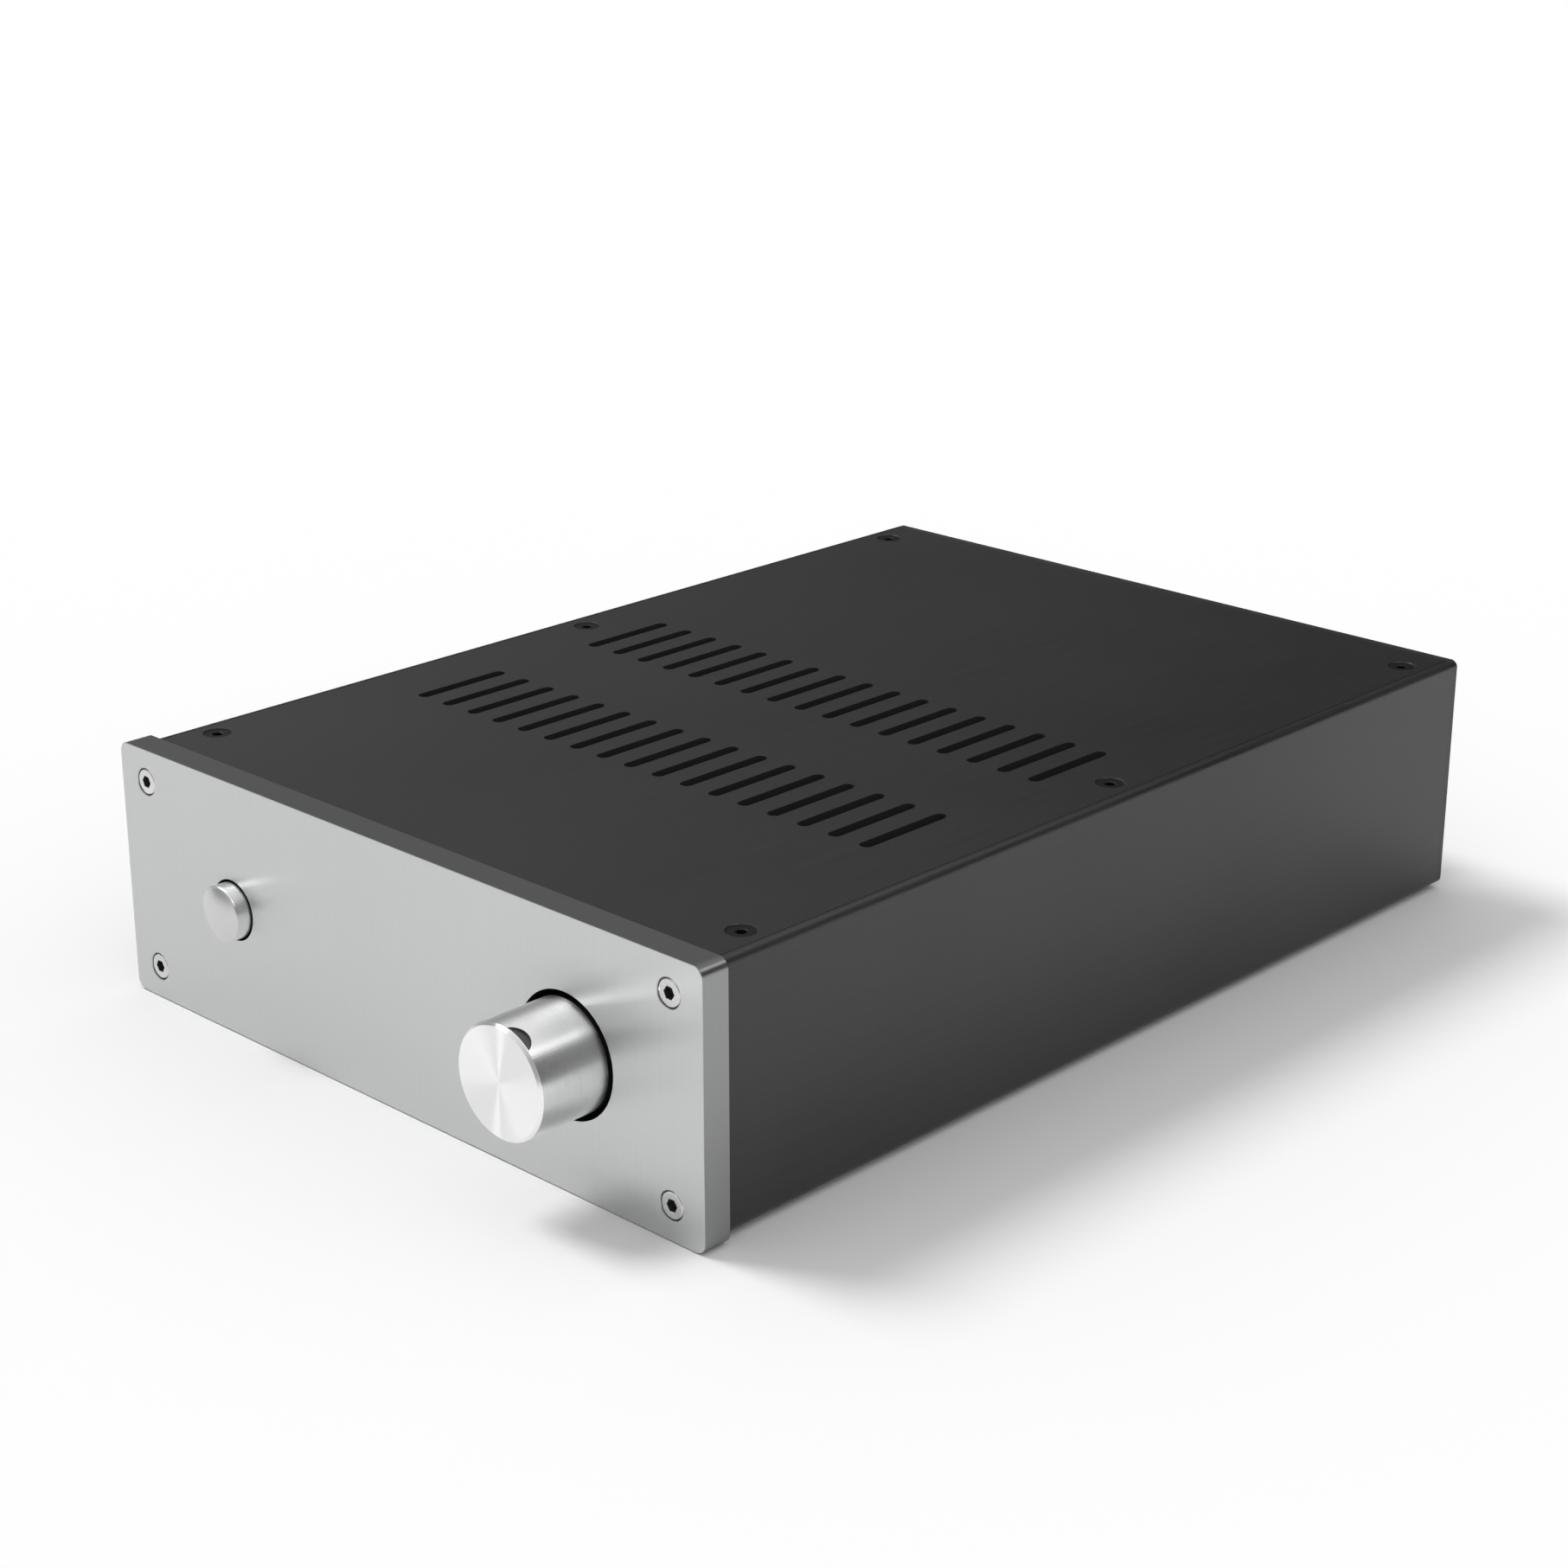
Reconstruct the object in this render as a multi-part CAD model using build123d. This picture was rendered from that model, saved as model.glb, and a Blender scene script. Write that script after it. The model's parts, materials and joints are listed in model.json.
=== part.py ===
from build123d import *
import os

os.makedirs("parts", exist_ok=True)

# An amplifier chassis: a thick aluminium front panel with a volume knob and a power button, an extruded and
# plated body with vented covers, and a rear panel with the mains inlet, signal sockets and loudspeaker posts.
# X runs across the front, Y from front to back and Z up. The origin is on the standing plane, midway between
# the front of the knob and the ends of the posts. All lengths are in millimetres.

# Body
body_width = 211.0
body_height = 67.6
body_length = 294.5
body_edge_radius = 2.0
foot_height = 1.6
foot_radius = 7.0
foot_inset_x = 20.0
foot_inset_y = 30.0
foot_edge_radius = 0.4

# Front panel
panel_side_overhang = 2.0
panel_top_overhang = 1.1
panel_thickness = 8.0
panel_corner_radius = 2.8
panel_edge_break = 0.12

# Rear panel
rear_thickness = 2.5

# Side rails, one extrusion used on both sides
rail_wall = 3.0
rail_lip = 2.2
rail_flange_width = 16.0
rail_flange_thickness = 3.0
port_wall = 2.2
port_web = 3.0
port_slot = 1.6

# Covers
cover_thickness = 2.5
cover_seam = 0.1
cover_edge_break = 0.25
vent_count = 17
vent_pitch = 10.18
vent_length = 30.0
vent_width = 3.5
vent_front_row = 86.4
vent_row_spacing = 63.1

# Metric fasteners
thread_radius = 2.0
thread_clearance = 0.05
clearance_hole_radius = 2.25
panel_screw_inset_x = 8.5
panel_screw_inset_z = 7.8
panel_screw_length = 16.0
screw_tip_chamfer = 0.5
socket_head_radius = 3.5
socket_head_height = 4.0
socket_head_chamfer = 0.45
socket_head_sink = 0.1
socket_hex = 3.0
socket_depth = 2.0
counterbore_gap = 0.15
counterbore_edge_break = 0.2
rear_screw_length = 10.0
button_head_radius = 3.8
button_head_height = 2.2
button_head_flat = 1.9
button_head_dome = (3.27, 1.45)
cover_screw_inset_x = 8.8
cover_screw_inset_y = 15.0
cover_screw_length = 6.0
cover_screw_rows = 3
countersink_radius = 3.85
countersink_sink = 0.25
countersunk_hex = 2.5
countersunk_hex_depth = 1.3
small_thread_radius = 1.5
small_hole_radius = 1.65
small_head_radius = 2.4
small_head_height = 1.6
small_hex = 2.0
small_hex_depth = 0.9
small_nut_flats = 5.5
small_nut_height = 2.4

# Volume knob
knob_inset = 44.7
knob_radius = 14.3
knob_projection = 20.2
knob_chamfer = 0.7
knob_recess_gap = 1.6
knob_recess_depth = 5.0
knob_insertion = 3.0
knob_hollow_radius = 8.5
knob_hollow_depth = 5.5
knob_bore_end_gap = 0.5
index_angle = 64.5
index_radius = 4.2
index_length = 2.7
index_depth = 0.8
index_lip = 1.0
set_screw_radius = 1.5
set_screw_length = 6.0
set_screw_hex = 1.5
set_screw_hex_depth = 1.8
set_screw_from_back = 10.5

# Potentiometer
shaft_radius = 3.0
shaft_fit = 0.05
shaft_projection = 14.0
shaft_flat_depth = 1.5
shaft_flat_length = 11.0
rotor_radius = 5.0
rotor_thickness = 1.5
rotor_gap = 0.1
bush_radius = 3.5
bush_length = 6.5
bush_hole_gap = 0.1
pot_side = 17.0
pot_corner_radius = 1.0
pot_plate_thickness = 2.2
pot_body_depth = 10.5
pot_nut_flats = 10.0
pot_nut_height = 2.0
pot_washer_radius = 6.0
pot_washer_thickness = 0.5
pot_pin_pitch = 5.0
pot_pin_width = 1.0
pot_pin_thickness = 0.5
pot_pin_length = 6.0
pot_pin_rows = (3.0, 7.5)

# Power button and its switch
button_inset = 45.1
button_radius = 7.5
button_dome_rise = 0.45
button_gap = 0.7
button_projection = 5.3
button_edge_radius = 0.4
button_tail = 1.0
button_travel = 3.0
plunger_side = 3.2
plunger_fit = 0.05
plunger_grip = 6.0
plunger_reach = 6.0
switch_gap = 1.5
switch_width = 18.0
switch_height = 14.0
switch_depth = 19.0
switch_nose_side = 9.0
switch_nose_gap = 0.1
switch_ear_width = 26.0
switch_ear_height = 8.0
switch_ear_thickness = 2.0
switch_screw_spacing = 20.8
switch_tag_width = 4.8
switch_tag_thickness = 0.8
switch_tag_length = 7.0
switch_tag_spacing_x = 10.0
switch_tag_spacing_z = 6.0
bracket_sheet = 1.5
bracket_height = 14.0
bracket_inner_width = 27.0
bracket_foot = 10.0
bracket_bend_radius = 0.5
bracket_screw_depth = 5.0
bracket_screw_length = 6.0

# Mains inlet
inlet_inset = 39.5
inlet_flange_width = 50.0
inlet_flange_height = 22.5
inlet_flange_thickness = 3.0
inlet_flange_radius = 4.0
inlet_body_width = 27.0
inlet_body_height = 19.8
inlet_body_depth = 18.0
inlet_body_chamfer = 4.5
inlet_gap = 0.2
inlet_cavity_width = 24.4
inlet_cavity_height = 16.6
inlet_cavity_depth = 16.0
inlet_cavity_chamfer = 3.8
inlet_screw_spacing = 40.0
inlet_screw_length = 10.0
inlet_pin_width = 2.0
inlet_pin_height = 4.0
inlet_pin_spacing = 14.0
inlet_pin_length = 13.5
inlet_line_drop = 2.0
inlet_earth_rise = 2.0
inlet_tag_length = 8.0
inlet_tag_height = 6.3
inlet_tag_thickness = 0.8

# Signal sockets
signal_inset = 41.5
signal_spacing = 18.0
signal_shell_radius = 4.15
signal_shell_length = 9.0
signal_shell_wall = 0.7
signal_core_hole_radius = 1.6
signal_core_recess = 1.0
signal_core_hole_depth = 7.0
signal_flange_radius = 5.6
signal_flange_thickness = 1.4
signal_ring_radius = 6.4
signal_ring_thickness = 1.6
signal_thread_radius = 3.0
signal_thread_length = 9.0
signal_hole_radius = 4.0
spigot_gap = 0.1
signal_nut_flats = 9.0
signal_nut_height = 2.0
signal_tag_radius = 0.9
signal_tag_length = 4.0

# Loudspeaker posts
post_x = 2.0
post_pair_spacing = 40.0
post_spacing = 19.05
post_stud_radius = 3.0
post_hole_radius = 4.0
post_collar_radius = 6.6
post_collar_height = 4.0
post_washer_thickness = 2.0
post_cap_radius = 6.2
post_cap_length = 14.0
post_cap_gap = 0.3
post_cap_flutes = 12
post_cap_flute_radius = 0.9
post_cap_nose = 1.0
post_cap_seat = 4.0
post_cap_mouth_radius = 2.6
post_thread_fit = 0.05
post_bore_radius = 2.0
post_stud_reach = 9.0
post_inner_length = 12.0
post_nut_flats = 10.0
post_nut_height = 2.4

# Sizes and places that follow from the others
panel_width = body_width + 2 * panel_side_overhang
panel_height = body_height + 2 * panel_top_overhang
panel_screw_spacing_x = body_width - 2 * panel_screw_inset_x
panel_screw_spacing_z = body_height - 2 * panel_screw_inset_z
cover_screw_spacing_x = body_width - 2 * cover_screw_inset_x
knob_x = panel_width / 2 - knob_inset
button_x = button_inset - panel_width / 2
inlet_x = inlet_inset - body_width / 2
signal_x = body_width / 2 - signal_inset
body_bottom = foot_height
body_top = foot_height + body_height
body_middle = foot_height + body_height / 2
front_reach = panel_thickness + knob_projection
rear_reach = post_collar_height + post_cap_gap + post_cap_length
panel_back = (front_reach - body_length - rear_reach) / 2
panel_face = panel_back - panel_thickness
rear_face = panel_back + body_length
body_centre = (panel_back + rear_face) / 2
rear_inside = rear_face - rear_thickness
lip_x = body_width / 2 - rail_lip
rail_inside = body_width / 2 - rail_wall
port_radius = thread_radius + port_wall
cover_half_width = lip_x - cover_seam
countersunk_head_radius = countersink_radius - countersink_sink - thread_clearance
shaft_tip = panel_face - shaft_projection
knob_front = panel_face - knob_projection
knob_back = panel_face + knob_insertion
knob_floor = panel_face + knob_recess_depth
button_front = panel_face - button_projection
button_back = panel_back + button_tail
switch_web = button_back + button_travel + switch_gap
switch_face = switch_web + bracket_sheet
on_base = (Align.CENTER, Align.CENTER, Align.MIN)


def block(x_low, x_high, y_low, y_high, z_low, z_high):
    # A plain block between two corners.
    middle = ((x_low + x_high) / 2, (y_low + y_high) / 2, (z_low + z_high) / 2)
    return Pos(*middle) * Box(x_high - x_low, y_high - y_low, z_high - z_low)


def turned_back(outline, x, z):
    # A body turned about an axis along Y through x and z, from (radius, y) points.
    wire = Polyline(*outline, close=True)
    return Pos(x, 0, z) * revolve(make_face(wire), Axis.Y)


def rod(radius, y_low, y_high, x, z):
    # A round bar along Y.
    return turned_back([(0, y_low), (radius, y_low), (radius, y_high), (0, y_high)], x, z)


def upright(outline, x, y):
    # A body turned about a vertical axis through x and y, from (radius, z) points.
    points = [(radius, 0, z) for radius, z in outline]
    wire = Polyline(*points, close=True)
    return Pos(x, y, 0) * revolve(make_face(wire), Axis.Z)


def prism(sketch, y_low, y_high):
    # A sketch drawn as seen from the front, X across and Z up, made solid between two depths.
    drawn = Plane((0, y_high, 0), x_dir=(1, 0, 0), z_dir=(0, -1, 0))
    return extrude(drawn * sketch, y_high - y_low)


def hexagon(flats):
    return RegularPolygon(flats / 2, 6, major_radius=False)


def panel_screw_places():
    half_x = panel_screw_spacing_x / 2
    half_z = panel_screw_spacing_z / 2
    return [(x, body_middle + z) for x in (-half_x, half_x) for z in (-half_z, half_z)]


def cover_screw_places():
    half_x = cover_screw_spacing_x / 2
    reach = body_length - 2 * cover_screw_inset_y
    first = panel_back + cover_screw_inset_y
    rows = [first + row * reach / (cover_screw_rows - 1) for row in range(cover_screw_rows)]
    return [(x, y) for x in (-half_x, half_x) for y in rows]


def body_outline():
    return Pos(0, body_middle) * RectangleRounded(body_width, body_height, body_edge_radius)


def make_front_panel():
    outline = Pos(0, body_middle) * RectangleRounded(panel_width, panel_height, panel_corner_radius)
    plate = prism(outline, panel_face, panel_back)
    plate = chamfer(plate.faces().sort_by(Axis.Y)[0].edges(), panel_edge_break)
    bore = socket_head_radius + counterbore_gap
    floor = panel_face + socket_head_height + socket_head_sink
    counterbore = [(0, panel_face), (bore + counterbore_edge_break, panel_face),
                   (bore, panel_face + counterbore_edge_break), (bore, floor), (0, floor)]
    for x, z in panel_screw_places():
        plate -= rod(clearance_hole_radius, panel_face, panel_back, x, z)
        plate -= turned_back(counterbore, x, z)
    plate -= rod(knob_radius + knob_recess_gap, panel_face, knob_floor, knob_x, body_middle)
    plate -= rod(bush_radius + bush_hole_gap, knob_floor, panel_back, knob_x, body_middle)
    plate -= rod(button_radius + button_gap, panel_face, panel_back, button_x, body_middle)
    for x in bracket_screw_places():
        blind = panel_back - bracket_screw_depth
        plate -= rod(small_thread_radius, blind, panel_back, x, body_middle)
    return plate


def make_rail(side):
    # The section is drawn for the right side and mirrored for the left.
    top = body_top - cover_thickness
    bottom = body_bottom + cover_thickness
    wall = body_outline() - Pos(0, body_middle) * Rectangle(2 * rail_inside, body_height)
    section = wall & Pos(body_width / 2, body_middle) * Rectangle(4 * rail_wall, body_height)
    flange_inner = body_width / 2 - rail_flange_width
    flange_middle = (flange_inner + lip_x) / 2
    flange = Rectangle(lip_x - flange_inner, rail_flange_thickness)
    section += Pos(flange_middle, top - rail_flange_thickness / 2) * flange
    section += Pos(flange_middle, bottom + rail_flange_thickness / 2) * flange
    port_x = panel_screw_spacing_x / 2
    web = Rectangle(rail_inside - port_x, port_web)
    slot = Rectangle(port_radius + port_wall, port_slot)
    for z in (body_middle - panel_screw_spacing_z / 2, body_middle + panel_screw_spacing_z / 2):
        section += Pos(port_x, z) * Circle(port_radius)
        section += Pos((rail_inside + port_x) / 2, z) * web
        section -= Pos(port_x, z) * Circle(thread_radius)
        section -= Pos(port_x - (port_radius + port_wall) / 2, z) * slot
    # The covers drop into the steps beside the lips.
    step = Rectangle(lip_x - flange_inner, cover_thickness)
    section -= Pos(flange_middle, body_top - cover_thickness / 2) * step
    section -= Pos(flange_middle, body_bottom + cover_thickness / 2) * step
    rail = prism(section, panel_back, rear_inside)
    for x, y in cover_screw_places():
        if x > 0:
            port_z = panel_screw_spacing_z / 2
            rail -= upright([(0, body_middle + port_z), (thread_radius, body_middle + port_z),
                             (thread_radius, body_top), (0, body_top)], x, y)
            rail -= upright([(0, body_bottom), (thread_radius, body_bottom),
                             (thread_radius, body_middle - port_z), (0, body_middle - port_z)], x, y)
    if side < 0:
        rail = mirror(rail, Plane.YZ)
    return rail


def countersink_outline(face, inward):
    # The 90 degree seat of a cover screw, from the outer face of a cover inward.
    seat = countersink_radius - clearance_hole_radius
    past = inward * cover_thickness
    return [(0, face), (countersink_radius, face), (clearance_hole_radius, face + inward * seat),
            (clearance_hole_radius, face + past), (0, face + past)]


def vent_slots(z):
    slots = []
    for row in range(2):
        y = panel_back + vent_front_row + row * vent_row_spacing
        for number in range(vent_count):
            x = (number - (vent_count - 1) / 2) * vent_pitch
            shape = Rot(0, 0, 90) * SlotOverall(vent_length, vent_width)
            slots.append(Pos(x, y, z) * extrude(shape, cover_thickness))
    return slots


def make_cover(low, face, inward):
    # One plate with two rows of slots; face is its outer side, low its lower side.
    high = low + cover_thickness
    plate = block(-cover_half_width, cover_half_width, panel_back, rear_inside, low, high)
    outer = plate.faces().sort_by(Axis.Z)[-1 if inward < 0 else 0]
    plate = chamfer(outer.edges().filter_by(Axis.Y), cover_edge_break)
    plate -= vent_slots(low)
    for x, y in cover_screw_places():
        plate -= upright(countersink_outline(face, inward), x, y)
    return plate


def make_rear_panel():
    plate = prism(body_outline(), rear_inside, rear_face)
    for x, z in panel_screw_places():
        plate -= rod(clearance_hole_radius, rear_inside, rear_face, x, z)
    cut_width = inlet_body_width + 2 * inlet_gap
    cut_height = inlet_body_height + 2 * inlet_gap
    cut = inlet_outline(cut_width, cut_height, inlet_body_chamfer)
    plate -= prism(cut, rear_inside, rear_face)
    for x in inlet_screw_places():
        plate -= rod(small_hole_radius, rear_inside, rear_face, x, body_middle)
    for x in signal_places():
        plate -= rod(signal_hole_radius, rear_inside, rear_face, x, body_middle)
    for x in post_places():
        plate -= rod(post_hole_radius, rear_inside, rear_face, x, body_middle)
    return plate


def make_front_screws():
    face = panel_face + socket_head_sink
    under = face + socket_head_height
    shank = thread_radius - thread_clearance
    tip = under + panel_screw_length
    outline = [(0, face), (socket_head_radius - socket_head_chamfer, face),
               (socket_head_radius, face + socket_head_chamfer), (socket_head_radius, under),
               (shank, under), (shank, tip - screw_tip_chamfer), (shank - screw_tip_chamfer, tip), (0, tip)]
    screws = []
    for x, z in panel_screw_places():
        screw = turned_back(outline, x, z)
        screw -= prism(Pos(x, z) * hexagon(socket_hex), face, face + socket_depth)
        screws.append(screw)
    return screws


def make_rear_screws():
    # Button head screws: the head is a dome between its seat and a small flat.
    seat = rear_face
    top = seat + button_head_height
    tip = seat - rear_screw_length
    shank = thread_radius - thread_clearance
    side = Line((button_head_radius, seat), (shank, seat))
    dome_radius, dome_rise = button_head_dome
    dome = ThreePointArc((button_head_radius, seat), (dome_radius, seat + dome_rise), (button_head_flat, top))
    rest = Polyline((button_head_flat, top), (0, top), (0, tip), (shank, tip), (shank, seat))
    face = make_face([side, dome, rest])
    screws = []
    for x, z in panel_screw_places():
        screw = Pos(x, 0, z) * revolve(face, Axis.Y)
        screw -= prism(Pos(x, z) * hexagon(countersunk_hex), top - countersunk_hex_depth, top)
        screws.append(screw)
    return screws


def make_cover_screws(face, inward):
    # Countersunk screws, a little below the outer face of their cover.
    head = face + inward * countersink_sink
    shank = thread_radius - thread_clearance
    neck = head + inward * (countersunk_head_radius - shank)
    tip = head + inward * cover_screw_length
    outline = [(0, head), (countersunk_head_radius, head), (shank, neck), (shank, tip), (0, tip)]
    low = min(head, head + inward * countersunk_hex_depth)
    screws = []
    for x, y in cover_screw_places():
        screw = upright(outline, x, y)
        screw -= Pos(x, y, low) * extrude(hexagon(countersunk_hex), countersunk_hex_depth)
        screws.append(screw)
    return screws


def make_foot_pads():
    pads = []
    for x in (-1, 1):
        for y in (-1, 1):
            across = x * (body_width / 2 - foot_inset_x)
            along = body_centre + y * (body_length / 2 - foot_inset_y)
            pad = Pos(across, along, 0) * Cylinder(foot_radius, foot_height, align=on_base)
            pads.append(fillet(pad.edges().sort_by(Axis.Z)[0], foot_edge_radius))
    return pads


def turned_about_knob(shape, angle):
    # A shape built on the X axis from the origin, swung round the axis of the knob.
    return Pos(knob_x, 0, body_middle) * Rot(0, -angle, 0) * shape


def make_knob():
    bore = shaft_radius + shaft_fit
    bore_front = shaft_tip - knob_bore_end_gap
    hollow = knob_back - knob_hollow_depth
    outline = [(0, knob_front), (knob_radius - knob_chamfer, knob_front),
               (knob_radius, knob_front + knob_chamfer), (knob_radius, knob_back),
               (knob_hollow_radius, knob_back), (knob_hollow_radius, hollow), (bore, hollow),
               (bore, bore_front), (0, bore_front)]
    knob = turned_back(outline, knob_x, body_middle)
    # The index is a half-moon milled behind the front rim.
    lip = knob_front + index_lip
    cutter = Rot(0, 90, 0) * Cylinder(index_radius, knob_radius, align=on_base)
    cutter = Pos(knob_radius - index_depth, lip + index_length - index_radius, 0) * cutter
    keep = block(0, 2 * knob_radius, lip, lip + 2 * index_radius, -knob_radius, knob_radius)
    knob -= turned_about_knob(cutter & keep, index_angle)
    hole = Rot(0, 90, 0) * Cylinder(set_screw_radius, knob_radius, align=on_base)
    hole = Pos(0, knob_back - set_screw_from_back, 0) * hole
    knob -= turned_about_knob(hole, index_angle + 180)
    return knob


def make_set_screw():
    start = shaft_radius - shaft_flat_depth
    radius = set_screw_radius - thread_clearance
    screw = Cylinder(radius, set_screw_length, align=on_base)
    socket_floor = Pos(0, 0, set_screw_length - set_screw_hex_depth)
    socket = extrude(socket_floor * hexagon(set_screw_hex), set_screw_hex_depth)
    screw = Rot(0, 90, 0) * (screw - socket)
    screw = Pos(start, knob_back - set_screw_from_back, 0) * screw
    return turned_about_knob(screw, index_angle + 180)


def make_shaft():
    rotor_front = panel_back + pot_plate_thickness + shaft_fit
    rotor_back = rotor_front + rotor_thickness
    outline = [(0, shaft_tip), (shaft_radius, shaft_tip), (shaft_radius, rotor_front),
               (rotor_radius, rotor_front), (rotor_radius, rotor_back), (0, rotor_back)]
    shaft = turned_back(outline, knob_x, body_middle)
    flat = block(shaft_radius - shaft_flat_depth, 2 * shaft_radius, shaft_tip, shaft_tip + shaft_flat_length,
                 -shaft_radius, shaft_radius)
    return shaft - turned_about_knob(flat, index_angle + 180)


def pot_outline():
    return Pos(knob_x, body_middle) * RectangleRounded(pot_side, pot_side, pot_corner_radius)


def make_pot_frame():
    # The cast plate with its threaded bush.
    frame = prism(pot_outline(), panel_back, panel_back + pot_plate_thickness)
    frame += rod(bush_radius, panel_back - bush_length, panel_back, knob_x, body_middle)
    plate_back = panel_back + pot_plate_thickness
    return frame - rod(shaft_radius + shaft_fit, panel_back - bush_length, plate_back, knob_x, body_middle)


def make_pot_body():
    front = panel_back + pot_plate_thickness
    body = prism(pot_outline(), front, front + pot_body_depth)
    pocket = shaft_fit + rotor_thickness + rotor_gap
    body -= rod(rotor_radius + rotor_gap, front, front + pocket, knob_x, body_middle)
    for x, y_low, y_high, z_low, z_high in pot_pin_boxes():
        body -= block(x - pot_pin_width / 2, x + pot_pin_width / 2, y_low, y_high, z_low, z_high)
    return body


def pot_pin_boxes():
    front = panel_back + pot_plate_thickness
    foot = body_middle - pot_side / 2
    boxes = []
    for row in pot_pin_rows:
        for number in (-1, 0, 1):
            x = knob_x + number * pot_pin_pitch
            y = front + row
            boxes.append((x, y, y + pot_pin_thickness, foot - pot_pin_length, foot + pot_pin_width))
    return boxes


def make_pot_pins():
    pins = []
    for x, y_low, y_high, z_low, z_high in pot_pin_boxes():
        pins.append(block(x - pot_pin_width / 2, x + pot_pin_width / 2, y_low, y_high, z_low, z_high))
    return pins


def make_pot_washer():
    back = knob_floor
    front = back - pot_washer_thickness
    ring = rod(pot_washer_radius, front, back, knob_x, body_middle)
    return ring - rod(bush_radius + bush_hole_gap, front, back, knob_x, body_middle)


def make_pot_nut():
    back = knob_floor - pot_washer_thickness
    front = back - pot_nut_height
    nut = prism(Pos(knob_x, body_middle) * hexagon(pot_nut_flats), front, back)
    return nut - rod(bush_radius + thread_clearance, front, back, knob_x, body_middle)


def make_button_cap():
    # Its face is a shallow dome that stands out a little beyond the rim.
    apex = button_front - button_dome_rise
    dome_radius = (button_radius ** 2 + button_dome_rise ** 2) / (2 * button_dome_rise)
    bend = button_radius / 2
    bend_y = apex + dome_radius - (dome_radius ** 2 - bend ** 2) ** 0.5
    dome = ThreePointArc((button_radius, button_front), (bend, bend_y), (0, apex))
    rest = Polyline((0, apex), (0, button_back), (button_radius, button_back), (button_radius, button_front))
    outline = make_face([dome, rest])
    rim = outline.vertices().group_by(Axis.X)[-1].sort_by(Axis.Y)[0]
    cap = Pos(button_x, 0, body_middle) * revolve(fillet(rim, button_edge_radius), Axis.Y)
    side = plunger_side / 2
    return cap - block(button_x - side, button_x + side, button_back - plunger_grip, button_back,
                       body_middle - side, body_middle + side)


def make_plunger():
    side = plunger_side / 2
    return block(button_x - side, button_x + side, button_back - plunger_grip, switch_face + plunger_reach,
                 body_middle - side, body_middle + side)


def centred(width, height, x):
    return Pos(x, body_middle) * Rectangle(width, height)


def switch_tag_places():
    half_x = switch_tag_spacing_x / 2
    half_z = switch_tag_spacing_z / 2
    return [(button_x + x, body_middle + z) for x in (-half_x, half_x) for z in (-half_z, half_z)]


def switch_screw_places():
    return [button_x - switch_screw_spacing / 2, button_x + switch_screw_spacing / 2]


def bracket_screw_places():
    reach = bracket_inner_width / 2 + bracket_sheet + bracket_foot / 2
    return [button_x - reach, button_x + reach]


def make_switch_body():
    back = switch_face + switch_depth
    body = prism(centred(switch_width, switch_height, button_x), switch_face, back)
    ears = centred(switch_ear_width, switch_ear_height, button_x)
    body += prism(ears, switch_face, switch_face + switch_ear_thickness)
    nose = centred(switch_nose_side, switch_nose_side, button_x)
    body += prism(nose, switch_web, switch_face)
    pocket = plunger_side + 2 * plunger_fit
    deep = switch_face + plunger_reach + button_travel + switch_gap
    body -= prism(centred(pocket, pocket, button_x), switch_web, deep)
    for x in switch_screw_places():
        body -= rod(small_thread_radius, switch_face, switch_face + switch_ear_thickness, x, body_middle)
    return body


def make_switch_tags():
    back = switch_face + switch_depth
    half_width = switch_tag_width / 2
    half_sheet = switch_tag_thickness / 2
    tags = []
    for x, z in switch_tag_places():
        tags.append(block(x - half_sheet, x + half_sheet, back, back + switch_tag_length, z - half_width,
                          z + half_width))
    return tags


def make_bracket():
    # A hat-shaped sheet: two feet on the panel, two walls and a web that carries the switch.
    half = bracket_inner_width / 2
    reach = half + bracket_sheet + bracket_foot
    low = body_middle - bracket_height / 2
    high = body_middle + bracket_height / 2
    web_back = switch_web + bracket_sheet
    outer = half + bracket_sheet
    sheet = block(button_x - outer, button_x + outer, panel_back, web_back, low, high)
    sheet -= block(button_x - half, button_x + half, panel_back, switch_web, low, high)
    for side in (-1, 1):
        ends = sorted((button_x + side * outer, button_x + side * reach))
        sheet += block(*ends, panel_back, panel_back + bracket_sheet, low, high)
    corners = sheet.edges().filter_by(Axis.Z).group_by(Axis.Y)[-1]
    sheet = fillet(corners, bracket_bend_radius + bracket_sheet)
    nose = switch_nose_side + 2 * switch_nose_gap
    sheet -= prism(centred(nose, nose, button_x), switch_web, web_back)
    for x in switch_screw_places():
        sheet -= rod(small_hole_radius, switch_web, web_back, x, body_middle)
    for x in bracket_screw_places():
        sheet -= rod(small_hole_radius, panel_back, panel_back + bracket_sheet, x, body_middle)
    return sheet


def small_screw(seat, direction, length, x):
    # A small cap screw along Y: its head stands off the seat against the direction of its tip.
    shank = small_thread_radius - thread_clearance
    head = seat - direction * small_head_height
    tip = seat + direction * length
    outline = [(0, head), (small_head_radius, head), (small_head_radius, seat), (shank, seat), (shank, tip),
               (0, tip)]
    screw = turned_back(outline, x, body_middle)
    floor = head + direction * small_hex_depth
    return screw - prism(Pos(x, body_middle) * hexagon(small_hex), min(head, floor), max(head, floor))


def make_bracket_screws():
    seat = panel_back + bracket_sheet
    return [small_screw(seat, -1, bracket_screw_length, x) for x in bracket_screw_places()]


def make_switch_screws():
    length = bracket_sheet + switch_ear_thickness
    return [small_screw(switch_web, 1, length, x) for x in switch_screw_places()]


def inlet_outline(width, height, corner):
    # The shape of the inlet, with its two upper corners cut off.
    half = width / 2
    low = -height / 2
    high = height / 2
    points = [(-half, low), (half, low), (half, high - corner), (half - corner, high),
              (-half + corner, high), (-half, high - corner)]
    return Pos(inlet_x, body_middle) * make_face(Polyline(*points, close=True))


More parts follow.
